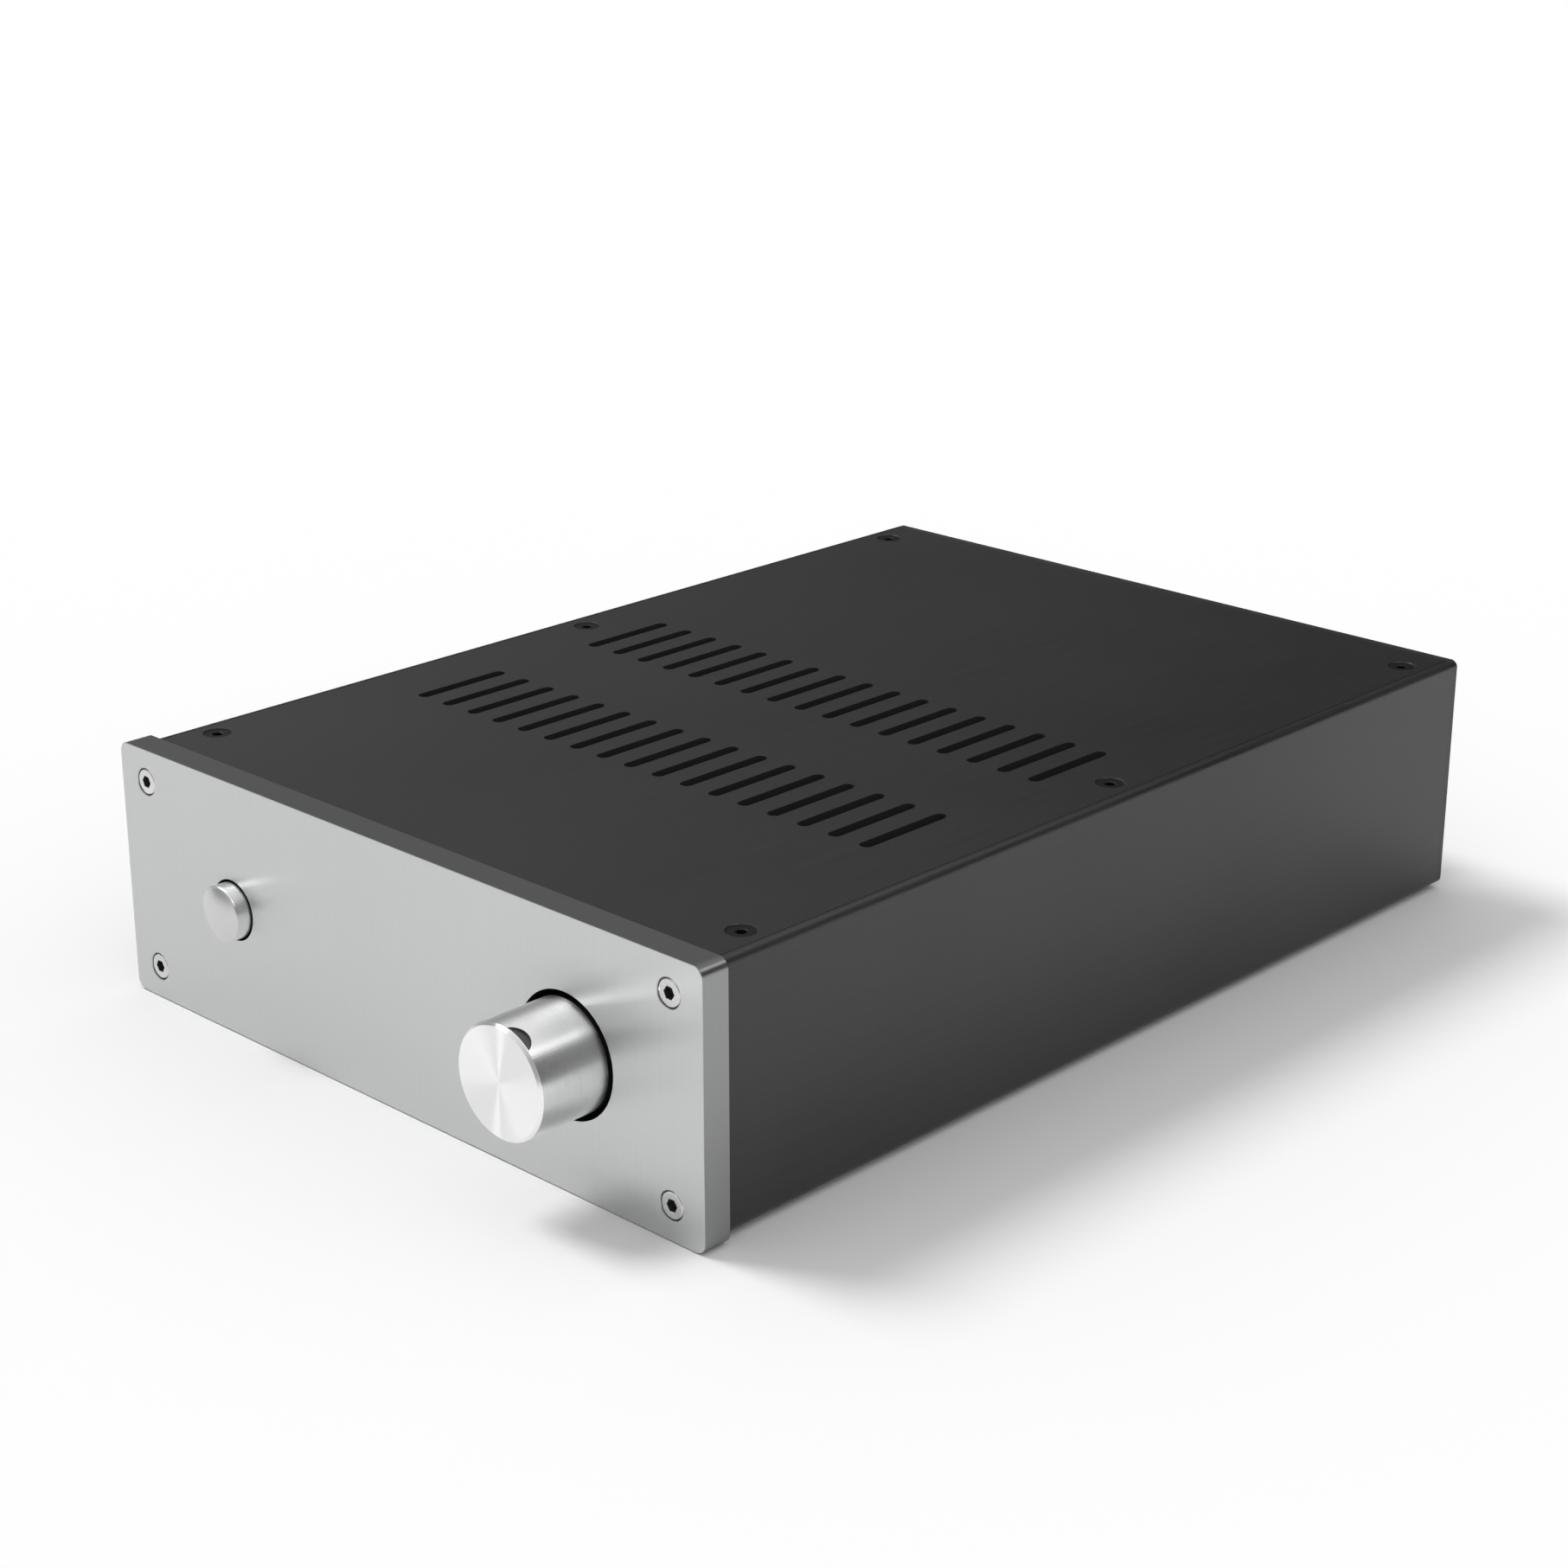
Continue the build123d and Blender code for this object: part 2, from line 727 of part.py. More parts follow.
def inlet_screw_places():
    return [inlet_x - inlet_screw_spacing / 2, inlet_x + inlet_screw_spacing / 2]


def inlet_contact_places():
    half = inlet_pin_spacing / 2
    low = body_middle - inlet_line_drop
    return [(inlet_x - half, low), (inlet_x + half, low), (inlet_x, body_middle + inlet_earth_rise)]


def make_inlet():
    outer = rear_face + inlet_flange_thickness
    inner = rear_face - inlet_body_depth
    flange = RectangleRounded(inlet_flange_width, inlet_flange_height, inlet_flange_radius)
    body = prism(Pos(inlet_x, body_middle) * flange, rear_face, outer)
    body += prism(inlet_outline(inlet_body_width, inlet_body_height, inlet_body_chamfer), inner, rear_face)
    cavity = inlet_outline(inlet_cavity_width, inlet_cavity_height, inlet_cavity_chamfer)
    body -= prism(cavity, outer - inlet_cavity_depth, outer)
    for x in inlet_screw_places():
        body -= rod(small_hole_radius, rear_face, outer, x, body_middle)
    for x, z in inlet_contact_places():
        body -= prism(Pos(x, z) * Rectangle(inlet_pin_width, inlet_pin_height), inner, outer)
    return body


def make_inlet_contacts():
    # Each contact is a blade in the cavity and a tag behind the inlet.
    floor = rear_face + inlet_flange_thickness - inlet_cavity_depth
    inner = rear_face - inlet_body_depth
    contacts = []
    for x, z in inlet_contact_places():
        section = Pos(x, z) * Rectangle(inlet_pin_width, inlet_pin_height)
        blade = prism(section, inner, floor + inlet_pin_length)
        section = Pos(x, z) * Rectangle(inlet_tag_thickness, inlet_tag_height)
        contacts.append(blade + prism(section, inner - inlet_tag_length, inner))
    return contacts


def make_inlet_screws():
    seat = rear_face + inlet_flange_thickness
    return [small_screw(seat, -1, inlet_screw_length, x) for x in inlet_screw_places()]


def hex_nut(flats, bore, y_low, y_high, x):
    nut = prism(Pos(x, body_middle) * hexagon(flats), y_low, y_high)
    return nut - rod(bore, y_low, y_high, x, body_middle)


def make_inlet_nuts():
    back = rear_inside
    front = back - small_nut_height
    return [hex_nut(small_nut_flats, small_thread_radius, front, back, x) for x in inlet_screw_places()]


def signal_places():
    return [signal_x - signal_spacing / 2, signal_x + signal_spacing / 2]


def make_signal_shells():
    # The barrel, flange and threaded tail are one turned piece.
    seat = rear_face + signal_ring_thickness
    flange = seat + signal_flange_thickness
    mouth = flange + signal_shell_length
    tail = rear_face - signal_thread_length
    inner = signal_shell_radius - signal_shell_wall
    outline = [(inner, mouth), (signal_shell_radius, mouth), (signal_shell_radius, flange),
               (signal_flange_radius, flange), (signal_flange_radius, seat), (signal_thread_radius, seat),
               (signal_thread_radius, tail), (signal_tag_radius, tail), (signal_tag_radius, flange),
               (inner, flange)]
    return [turned_back(outline, x, body_middle) for x in signal_places()]


def make_signal_cores():
    # The insulated centre with the hole for the plug's pin, and the tag behind it.
    flange = rear_face + signal_ring_thickness + signal_flange_thickness
    mouth = flange + signal_shell_length - signal_core_recess
    tail = rear_face - signal_thread_length - signal_tag_length
    radius = signal_shell_radius - signal_shell_wall - thread_clearance
    tag = signal_tag_radius - thread_clearance
    hole = mouth - signal_core_hole_depth
    outline = [(0, tail), (tag, tail), (tag, flange), (radius, flange), (radius, mouth),
               (signal_core_hole_radius, mouth), (signal_core_hole_radius, hole), (0, hole)]
    return [turned_back(outline, x, body_middle) for x in signal_places()]


def signal_ring(x):
    # A coloured washer outside the panel with a spigot that centres the socket in its hole.
    outer = rear_face + signal_ring_thickness
    spigot = signal_hole_radius - spigot_gap
    bore = signal_thread_radius + thread_clearance
    outline = [(bore, rear_inside), (spigot, rear_inside), (spigot, rear_face),
               (signal_ring_radius, rear_face), (signal_ring_radius, outer), (bore, outer)]
    return turned_back(outline, x, body_middle)


def make_signal_washers():
    back = rear_inside
    front = back - signal_ring_thickness
    ring = []
    for x in signal_places():
        disc = rod(signal_ring_radius, front, back, x, body_middle)
        ring.append(disc - rod(signal_thread_radius + thread_clearance, front, back, x, body_middle))
    return ring


def make_signal_nuts():
    back = rear_inside - signal_ring_thickness
    front = back - signal_nut_height
    bore = signal_thread_radius + thread_clearance
    return [hex_nut(signal_nut_flats, bore, front, back, x) for x in signal_places()]


def post_places():
    pairs = (post_x - post_pair_spacing / 2, post_x + post_pair_spacing / 2)
    return [pair + side * post_spacing / 2 for pair in pairs for side in (-1, 1)]


def post_collar(x):
    # The insulating collar, with a spigot through the panel.
    outer = rear_face + post_collar_height
    spigot = post_hole_radius - spigot_gap
    bore = post_stud_radius + thread_clearance
    outline = [(bore, rear_inside), (spigot, rear_inside), (spigot, rear_face),
               (post_collar_radius, rear_face), (post_collar_radius, outer), (bore, outer)]
    return turned_back(outline, x, body_middle)


def make_post_washers():
    back = rear_inside
    front = back - post_washer_thickness
    washers = []
    for x in post_places():
        disc = rod(post_collar_radius, front, back, x, body_middle)
        washers.append(disc - rod(post_stud_radius + thread_clearance, front, back, x, body_middle))
    return washers


def make_post_studs():
    # A threaded stud with the bore for a plug in its outer end.
    tip = rear_face + post_collar_height + post_stud_reach
    tail = rear_inside - post_inner_length
    bottom = rear_face + post_collar_height
    outline = [(0, tail), (post_stud_radius, tail), (post_stud_radius, tip), (post_bore_radius, tip),
               (post_bore_radius, bottom), (0, bottom)]
    return [turned_back(outline, x, body_middle) for x in post_places()]


def make_post_nuts():
    back = rear_inside - post_washer_thickness
    front = back - post_nut_height
    bore = post_stud_radius + thread_clearance
    return [hex_nut(post_nut_flats, bore, front, back, x) for x in post_places()]


def make_post_cap(x):
    # A fluted cap on the stud, open at both ends so that a plug reaches the bore.
    back = rear_face + post_collar_height + post_cap_gap
    front = back + post_cap_length
    stud = rear_face + post_collar_height + post_stud_reach
    bore = post_stud_radius + post_thread_fit
    outline = [(bore, back), (post_cap_radius, back), (post_cap_radius, front - post_cap_nose),
               (post_cap_radius - post_cap_nose, front), (post_cap_mouth_radius, front),
               (post_cap_mouth_radius, stud + post_cap_gap), (bore, stud + post_cap_gap)]
    cap = turned_back(outline, x, body_middle)
    for number in range(post_cap_flutes):
        angle = number * 360 / post_cap_flutes
        flute = rod(post_cap_flute_radius, back + post_cap_seat, front, post_cap_radius, 0)
        cap -= Pos(x, 0, body_middle) * Rot(0, angle, 0) * flute
    return cap


def save(name, shape):
    if isinstance(shape, list):
        shape = Compound(children=shape)
    shape.label = name
    export_step(shape, f"parts/{name}.step")


save("front_panel", make_front_panel())
save("rear_panel", make_rear_panel())
save("left_side_rail", make_rail(-1))
save("right_side_rail", make_rail(1))
save("top_cover", make_cover(body_top - cover_thickness, body_top, -1))
save("bottom_cover", make_cover(body_bottom, body_bottom, 1))
save("front_panel_screws", make_front_screws())
save("rear_panel_screws", make_rear_screws())
save("top_cover_screws", make_cover_screws(body_top, -1))
save("bottom_cover_screws", make_cover_screws(body_bottom, 1))
save("foot_pads", make_foot_pads())

save("volume_knob", make_knob())
save("knob_set_screw", make_set_screw())
save("potentiometer_shaft", make_shaft())
save("potentiometer_frame", make_pot_frame())
save("potentiometer_body", make_pot_body())
save("potentiometer_pins", make_pot_pins())
save("potentiometer_washer", make_pot_washer())
save("potentiometer_nut", make_pot_nut())

save("button_cap", make_button_cap())
save("switch_plunger", make_plunger())
save("switch_body", make_switch_body())
save("switch_tags", make_switch_tags())
save("switch_bracket", make_bracket())
save("bracket_screws", make_bracket_screws())
save("switch_screws", make_switch_screws())

save("mains_inlet", make_inlet())
save("inlet_contacts", make_inlet_contacts())
save("inlet_screws", make_inlet_screws())
save("inlet_nuts", make_inlet_nuts())

save("signal_shells", make_signal_shells())
save("signal_cores", make_signal_cores())
for place, side in zip(signal_places(), ("right", "left")):
    save(f"signal_ring_{side}", signal_ring(place))
save("signal_washers", make_signal_washers())
save("signal_nuts", make_signal_nuts())

for sign, places in (("positive", post_places()[1::2]), ("negative", post_places()[0::2])):
    save(f"post_collars_{sign}", [post_collar(x) for x in places])
save("post_washers", make_post_washers())
save("post_studs", make_post_studs())
save("post_nuts", make_post_nuts())
for number, place in enumerate(post_places(), 1):
    save(f"post_cap_{number}", make_post_cap(place))
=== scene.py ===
import json
import math
import bpy
from mathutils import Matrix, Vector


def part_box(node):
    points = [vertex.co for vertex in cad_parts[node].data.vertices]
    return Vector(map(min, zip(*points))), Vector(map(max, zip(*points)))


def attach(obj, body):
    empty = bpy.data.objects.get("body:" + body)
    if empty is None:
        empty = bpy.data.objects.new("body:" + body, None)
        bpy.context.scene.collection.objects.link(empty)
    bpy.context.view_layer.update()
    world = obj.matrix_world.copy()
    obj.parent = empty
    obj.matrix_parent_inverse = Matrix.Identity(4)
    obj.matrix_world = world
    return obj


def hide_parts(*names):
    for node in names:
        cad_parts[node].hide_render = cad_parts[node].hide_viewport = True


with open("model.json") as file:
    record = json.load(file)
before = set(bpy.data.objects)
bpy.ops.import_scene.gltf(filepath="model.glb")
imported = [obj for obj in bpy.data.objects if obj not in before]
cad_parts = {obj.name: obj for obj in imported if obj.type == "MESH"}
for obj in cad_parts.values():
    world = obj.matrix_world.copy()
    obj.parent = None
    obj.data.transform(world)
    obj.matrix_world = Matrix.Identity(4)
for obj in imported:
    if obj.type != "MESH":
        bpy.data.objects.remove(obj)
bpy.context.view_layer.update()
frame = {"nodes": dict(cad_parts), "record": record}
nodes = frame["nodes"]
mm = 0.001
hair = 0.001 * mm  # so small that it counts as nothing


# small helpers for every node tree below
def put(tree, kind, inputs=None, settings=None):
    node = tree.nodes.new(kind)
    for key, value in (settings or {}).items():
        setattr(node, key, value)
    for key, value in (inputs or {}).items():
        if isinstance(value, bpy.types.NodeSocket):
            tree.links.new(value, node.inputs[key])
        else:
            node.inputs[key].default_value = value
    return node


def out(tree, kind, inputs=None, settings=None):
    return put(tree, kind, inputs, settings).outputs[0]


def calc(tree, operation, *values):
    return out(tree, "ShaderNodeMath", dict(enumerate(values)), {"operation": operation})


def add(tree, a, b):
    return calc(tree, "ADD", a, b)


def less(tree, a, b):
    return calc(tree, "SUBTRACT", a, b)


def times(tree, a, b):
    return calc(tree, "MULTIPLY", a, b)


def over(tree, a, b):
    return calc(tree, "DIVIDE", a, b)


def between(tree, value, low, high):
    return times(tree, calc(tree, "GREATER_THAN", value, low), calc(tree, "LESS_THAN", value, high))


def vec(tree, operation, *values):
    node = put(tree, "ShaderNodeVectorMath", dict(enumerate(values)), {"operation": operation})
    return node.outputs["Value"] if operation in ("LENGTH", "DOT_PRODUCT") else node.outputs["Vector"]


def stretched(tree, vector, factor):
    return out(tree, "ShaderNodeVectorMath", {0: vector, "Scale": factor}, {"operation": "SCALE"})


def split(tree, vector):
    return put(tree, "ShaderNodeSeparateXYZ", {0: vector}).outputs


def xyz(tree, x=0, y=0, z=0):
    return out(tree, "ShaderNodeCombineXYZ", {0: x, 1: y, 2: z})


def ranged(tree, value, low, high, start=0.3, end=0.7):
    # start to end becomes low to high; noise seldom leaves 0.3 to 0.7
    inputs = {"Value": value, "From Min": start, "From Max": end, "To Min": low, "To Max": high}
    return out(tree, "ShaderNodeMapRange", inputs)


def place(tree):
    return put(tree, "ShaderNodeTexCoord").outputs["Object"]


def square(side):
    # the corners of a square round the origin
    half = side / 2
    return (-half, -half), (half, -half), (half, half), (-half, half)


def plainMesh(name, verts, faces):
    mesh = bpy.data.meshes.new(name)
    mesh.from_pydata(verts, [], faces)
    mesh.update()
    obj = bpy.data.objects.new(name, mesh)
    bpy.context.scene.collection.objects.link(obj)
    return obj


# camera, found from the panel's corners and the screws in the photograph
cameraLook = {
    "place": (0.53662, -0.57291, 0.33300),
    "right": (0.7222, 0.6917, 0.0),
    "up": (-0.23781, 0.24823, 0.93906),
    "lens": 70.13,
    "sensor": 36,
    "nearest": 0.01,
}


def makeCamera():
    right = Vector(cameraLook["right"]).normalized()
    back = right.cross(Vector(cameraLook["up"])).normalized()
    up = back.cross(right)
    data = bpy.data.cameras.new("photoCamera")
    data.sensor_width = cameraLook["sensor"]
    data.lens = cameraLook["lens"]
    data.clip_start = cameraLook["nearest"]
    camera = bpy.data.objects.new("photoCamera", data)
    turn = Matrix((right, up, back)).transposed().to_4x4()
    camera.matrix_world = Matrix.Translation(cameraLook["place"]) @ turn
    bpy.context.scene.collection.objects.link(camera)
    bpy.context.scene.camera = camera


# white for the camera and for gloss, a plain grey for the light on the object, leaning a little to the back
skyLook = {"low": 0.51, "high": 0.69, "lean": (0.08, 0.22, 0), "white": (1, 1, 1, 1)}


def makeSky():
    world = bpy.data.worlds.new("studioSky")
    world.use_nodes = True
    tree = world.node_tree
    tree.nodes.clear()
    ray = put(tree, "ShaderNodeLightPath").outputs
    seen = calc(tree, "MAXIMUM", ray["Is Camera Ray"], ray["Is Transmission Ray"])
    seen = calc(tree, "MAXIMUM", seen, ray["Is Glossy Ray"])
    way = put(tree, "ShaderNodeTexCoord").outputs["Generated"]
    strength = ranged(tree, split(tree, way)["Z"], skyLook["low"], skyLook["high"], 0, 1)
    lean = add(tree, vec(tree, "DOT_PRODUCT", way, skyLook["lean"]), 1)
    light = {"Color": skyLook["white"], "Strength": times(tree, strength, lean)}
    sky = out(tree, "ShaderNodeBackground", light)
    white = out(tree, "ShaderNodeBackground", {"Color": skyLook["white"], "Strength": 1})
    both = out(tree, "ShaderNodeMixShader", {0: seen, 1: sky, 2: white})
    put(tree, "ShaderNodeOutputWorld", {"Surface": both})
    bpy.context.scene.world = world


# one broad lamp from the left, a little in front
keyLook = {"energy": 1.55, "angle": math.radians(21), "travel": (0.70, 0.2, -1), "place": (-1.5, 0, 2)}


def makeKey():
    data = bpy.data.lights.new("keyLight", "SUN")
    data.energy = keyLook["energy"]
    data.angle = keyLook["angle"]
    key = bpy.data.objects.new("keyLight", data)
    key.rotation_euler = Vector(keyLook["travel"]).normalized().to_track_quat("-Z", "Y").to_euler()
    key.location = keyLook["place"]
    bpy.context.scene.collection.objects.link(key)


# the soft pads sink into the floor by its height
floorLook = {"size": 40.0, "height": 0.3 * mm, "colour": (0.97, 0.97, 0.97, 1)}


def makeFloor():
    corners = [(x, y, floorLook["height"]) for x, y in square(floorLook["size"])]
    floor = plainMesh("floor", corners, [(0, 1, 2, 3)])
    mat = bpy.data.materials.new("floorWhite")
    mat.use_nodes = True
    shader = mat.node_tree.nodes["Principled BSDF"]
    shader.inputs["Base Color"].default_value = floorLook["colour"]
    shader.inputs["Roughness"].default_value = 1
    shader.inputs["Specular IOR Level"].default_value = 0
    floor.data.materials.append(mat)


def newGlow(name):
    mat = bpy.data.materials.new(name)
    mat.use_nodes = True
    mat.node_tree.nodes.clear()
    return mat


def endGlow(mat, obj, strength):
    # the object glows, and shows in reflections alone
    light = out(mat.node_tree, "ShaderNodeEmission", {"Strength": strength})
    put(mat.node_tree, "ShaderNodeOutputMaterial", {"Surface": light})
    obj.data.materials.append(mat)
    obj.visible_camera = False
    obj.visible_diffuse = False
    obj.visible_shadow = False
    obj.visible_transmission = False


# a low grey screen round the table: dark on the right and behind, lighter on the left and in front
screenLook = {
    "radius": 4.0,
    "lowest": math.radians(-2),
    "highest": math.radians(44),
    "steps": 96,
    "right": 0.03,
    "left": 0.50,
    "front": 0.50,
    "leftRise": (0.46, 1.0),  # how far round to the left it starts to brighten, and where it is brightest
    "frontRise": (0.30, 0.9),
}


def makeScreen():
    look = screenLook
    verts, faces = [], []
    for i in range(look["steps"]):
        turn = 2 * math.pi * i / look["steps"]
        for rise in (look["lowest"], look["highest"]):
            flat = look["radius"] * math.cos(rise)
            verts.append((flat * math.cos(turn), flat * math.sin(turn), look["radius"] * math.sin(rise)))
        j = (i + 1) % look["steps"]
        faces.append((2 * i, 2 * i + 1, 2 * j + 1, 2 * j))
    screen = plainMesh("lowScreen", verts, faces)
    mat = newGlow("screenGrey")
    tree = mat.node_tree
    glows = []
    for side, way in (("left", (-1, 0, 0)), ("front", (0, -1, 0))):
        towards = vec(tree, "DOT_PRODUCT", place(tree), [part / look["radius"] for part in way])
        glows.append(ranged(tree, towards, look["right"], look[side], *look[side + "Rise"]))
    endGlow(mat, screen, calc(tree, "MAXIMUM", *glows))


# a small bright card on the right and above, in line with the panel: it lights the turned sides
cardLook = {"way": (0.568, 0.0, 0.823), "distance": 2.0, "side": 0.4, "strength": 16.0}


def makeCard():
    way = Vector(cardLook["way"]).normalized()
    turn = (-way).to_track_quat("-Z", "Y")
    middle = way * cardLook["distance"]
    corners = [turn @ Vector((x, y, 0)) + middle for x, y in square(cardLook["side"])]
    card = plainMesh("reflectionCard", corners, [(0, 1, 2, 3)])
    endGlow(newGlow("cardWhite"), card, cardLook["strength"])


makeCamera()
makeSky()
makeKey()
makeFloor()
makeScreen()
makeCard()
bpy.context.scene.view_settings.view_transform = "Standard"
print("stage ready")


# parts of finishes
def newFinish(name, metallic, stretch=0.0, specular=0.5):
    mat = bpy.data.materials.new(name)
    mat.use_nodes = True
    shader = mat.node_tree.nodes["Principled BSDF"]
    shader.inputs["Metallic"].default_value = metallic
    shader.inputs["Anisotropic"].default_value = stretch
    shader.inputs["Specular IOR Level"].default_value = specular
    return mat, mat.node_tree, shader


def mixed(tree, factor, a, b):
    first, second = [(*colour, 1) if isinstance(colour, tuple) else colour for colour in (a, b)]
    return put(tree, "ShaderNodeMix", {0: factor, 6: first, 7: second}, {"data_type": "RGBA"}).outputs[2]


def blended(tree, factor, a, b):
    return out(tree, "ShaderNodeMix", {0: factor, 2: a, 3: b}, {"data_type": "FLOAT"})


def noise(tree, vector, scale=1, detail=3.0, rough=0.6):
    inputs = {"Vector": vector, "Scale": scale, "Detail": detail, "Roughness": rough}
    return put(tree, "ShaderNodeTexNoise", inputs).outputs["Fac"]


def scaled(tree, scale):
    return out(tree, "ShaderNodeMapping", {"Vector": place(tree), "Scale": scale})


def facing(tree, axis):
    # 1 where the surface faces along an axis, 0 where it stands across it
    normal = put(tree, "ShaderNodeTexCoord").outputs["Normal"]
    along = calc(tree, "ABSOLUTE", vec(tree, "DOT_PRODUCT", normal, axis))
    return ranged(tree, along, 0, 1, start=0.5, end=0.8)


def setBrush(tree, shader, direction):
    # stretches the highlight across the brushing
    toWorld = {"vector_type": "VECTOR", "convert_from": "OBJECT", "convert_to": "WORLD"}
    turn = out(tree, "ShaderNodeVectorTransform", {0: direction}, toWorld)
    normal = put(tree, "ShaderNodeNewGeometry").outputs["Normal"]
    tree.links.new(vec(tree, "CROSS_PRODUCT", normal, turn), shader.inputs["Tangent"])


def setBump(tree, shader, height, strength, depth):
    bump = out(tree, "ShaderNodeBump", {"Height": height, "Strength": strength, "Distance": depth})
    tree.links.new(bump, shader.inputs["Normal"])


def inRod(tree, centre, radius, start):
    # 1 inside a rod along Y that begins at a depth, such as a bore
    offset = vec(tree, "MULTIPLY", vec(tree, "SUBTRACT", place(tree), centre), (1, 0, 1))
    inside = calc(tree, "LESS_THAN", vec(tree, "LENGTH", offset), radius)
    return times(tree, inside, calc(tree, "GREATER_THAN", split(tree, place(tree))["Y"], start))


def inBlock(tree, centre, reach):
    # 1 inside a block round a centre
    parts = split(tree, vec(tree, "ABSOLUTE", vec(tree, "SUBTRACT", place(tree), centre)))
    near = [calc(tree, "LESS_THAN", parts[axis], part) for axis, part in zip("XYZ", reach)]
    return times(tree, times(tree, near[0], near[1]), near[2])


def cutEdge(tree, colour, rough, edge):
    # a plate's narrow edges are cut smoother than its face, and their colour is darkened as painted shade
    face = facing(tree, edge["face"])
    sideways = facing(tree, (1, 0, 0))
    shadedEdge = stretched(tree, colour, blended(tree, sideways, *edge["shade"]))
    edgeRough = blended(tree, sideways, *edge["rough"])
    return mixed(tree, face, shadedEdge, colour), blended(tree, face, edgeRough, rough)


# shared by all finishes: shares of the tone, scales of the clouds and depths of the relief
grainLook = {
    "lineShare": 0.8, "cloudShare": 0.2, "metalClouds": (9, 9, 9), "plainClouds": 60,
    "brushedDepth": 0.2 * mm, "plainDepth": 0.1 * mm,
}


def clouds(tree, vector, scale=1):
    # a slow, soft change
    return noise(tree, vector, scale, detail=2, rough=0.5)


def toned(tree, value, look):
    return mixed(tree, ranged(tree, value, 0, 1), look["dark"], look["light"])


def brushedMetal(name, look):
    # straight brushing: fine long lines and a slow change of tone
    mat, tree, shader = newFinish(name, look["metallic"], look["stretch"])
    scale = [look["along"] if abs(part) > 0.5 else look["across"] for part in look["brush"]]
    lines = noise(tree, scaled(tree, scale), detail=4, rough=0.65)
    cloud = ranged(tree, clouds(tree, scaled(tree, grainLook["metalClouds"])), 0, grainLook["cloudShare"])
    colour = toned(tree, calc(tree, "MULTIPLY_ADD", lines, grainLook["lineShare"], cloud), look)
    rough = ranged(tree, lines, *look["rough"])
    if "edge" in look:
        colour, rough = cutEdge(tree, colour, rough, look["edge"])
    # painted shade: inside the bores and inside the case the colour is near black
    shadedMasks = [inRod(tree, *rod) for rod in look.get("bores", ())]
    if "inside" in look:
        shadedMasks.append(inBlock(tree, *look["inside"]))
    for inside in shadedMasks:
        colour = mixed(tree, inside, colour, look["insideColour"])
        rough = blended(tree, inside, rough, look["insideRough"])
    tree.links.new(colour, shader.inputs["Base Color"])
    tree.links.new(rough, shader.inputs["Roughness"])
    setBrush(tree, shader, look["brush"])
    setBump(tree, shader, lines, look["bump"], grainLook["brushedDepth"])
    return mat


def spunMetal(name, look):
    # turned about an axis along Y: fine rings on a face, finer ones round a side
    mat, tree, shader = newFinish(name, 1, look["stretch"])
    offset = vec(tree, "SUBTRACT", place(tree), look["centre"])
    flat = vec(tree, "MULTIPLY", offset, (1, 0, 1))
    outward = vec(tree, "NORMALIZE", flat)
    rings = times(tree, add(tree, vec(tree, "LENGTH", flat), split(tree, offset)["Y"]), look["across"])
    around = [times(tree, split(tree, outward)[axis], look["round"]) for axis in "XZ"]
    lines = noise(tree, xyz(tree, rings, *around))
    tree.links.new(toned(tree, lines, look), shader.inputs["Base Color"])
    tree.links.new(ranged(tree, lines, *look["rough"]), shader.inputs["Roughness"])
    setBrush(tree, shader, vec(tree, "CROSS_PRODUCT", (0, 1, 0), outward))
    setBump(tree, shader, lines, look["bump"], grainLook["brushedDepth"])
    return mat


def plainFinish(name, look):
    # moulded, cast or plated: a fine grain and a slow change of tone
    mat, tree, shader = newFinish(name, look.get("metallic", 0), specular=look.get("specular", 0.5))
    grain = noise(tree, place(tree), look["grain"])
    cloud = clouds(tree, place(tree), grainLook["plainClouds"])
    tree.links.new(toned(tree, cloud, look), shader.inputs["Base Color"])
    tree.links.new(ranged(tree, grain, *look["rough"]), shader.inputs["Roughness"])
    setBump(tree, shader, grain, look["bump"], grainLook["plainDepth"])
    return mat


def grey(value):
    return (value, value, value)


def frontMiddle(node):
    # the middle of a turned node's front face
    low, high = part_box(node)
    return ((low[0] + high[0]) / 2, low[1], (low[2] + high[2]) / 2)


finishes = {}
knobCentre = frontMiddle("volume_knob")
buttonCentre = frontMiddle("button_cap")
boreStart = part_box("front_panel")[0][1] + 0.3 * mm

frontPanelLook = {
    "brush": (0.05, 0, 1), "along": 40, "across": 9000, "metallic": 1, "stretch": 0.82, "bump": 0.02,
    "dark": (0.59, 0.60, 0.597), "light": (0.635, 0.645, 0.641), "rough": (0.385, 0.41),
    # painted shade: the edge's shade scales the colour down on top and at the ends
    "edge": {"face": (0, 1, 0), "rough": (0.29, 0.46), "shade": (0.29, 0.56)},  # on top, at the ends
    # painted shade: in the bores for the knob and the button, from 0.3 mm behind the front, the colour is
    # near black
    "bores": ((knobCentre, 16.0 * mm, boreStart), (buttonCentre, 8.3 * mm, boreStart)),
    "insideColour": grey(0.008), "insideRough": 0.9,
}
finishes["silver_panel"] = brushedMetal("silverPanel", frontPanelLook)

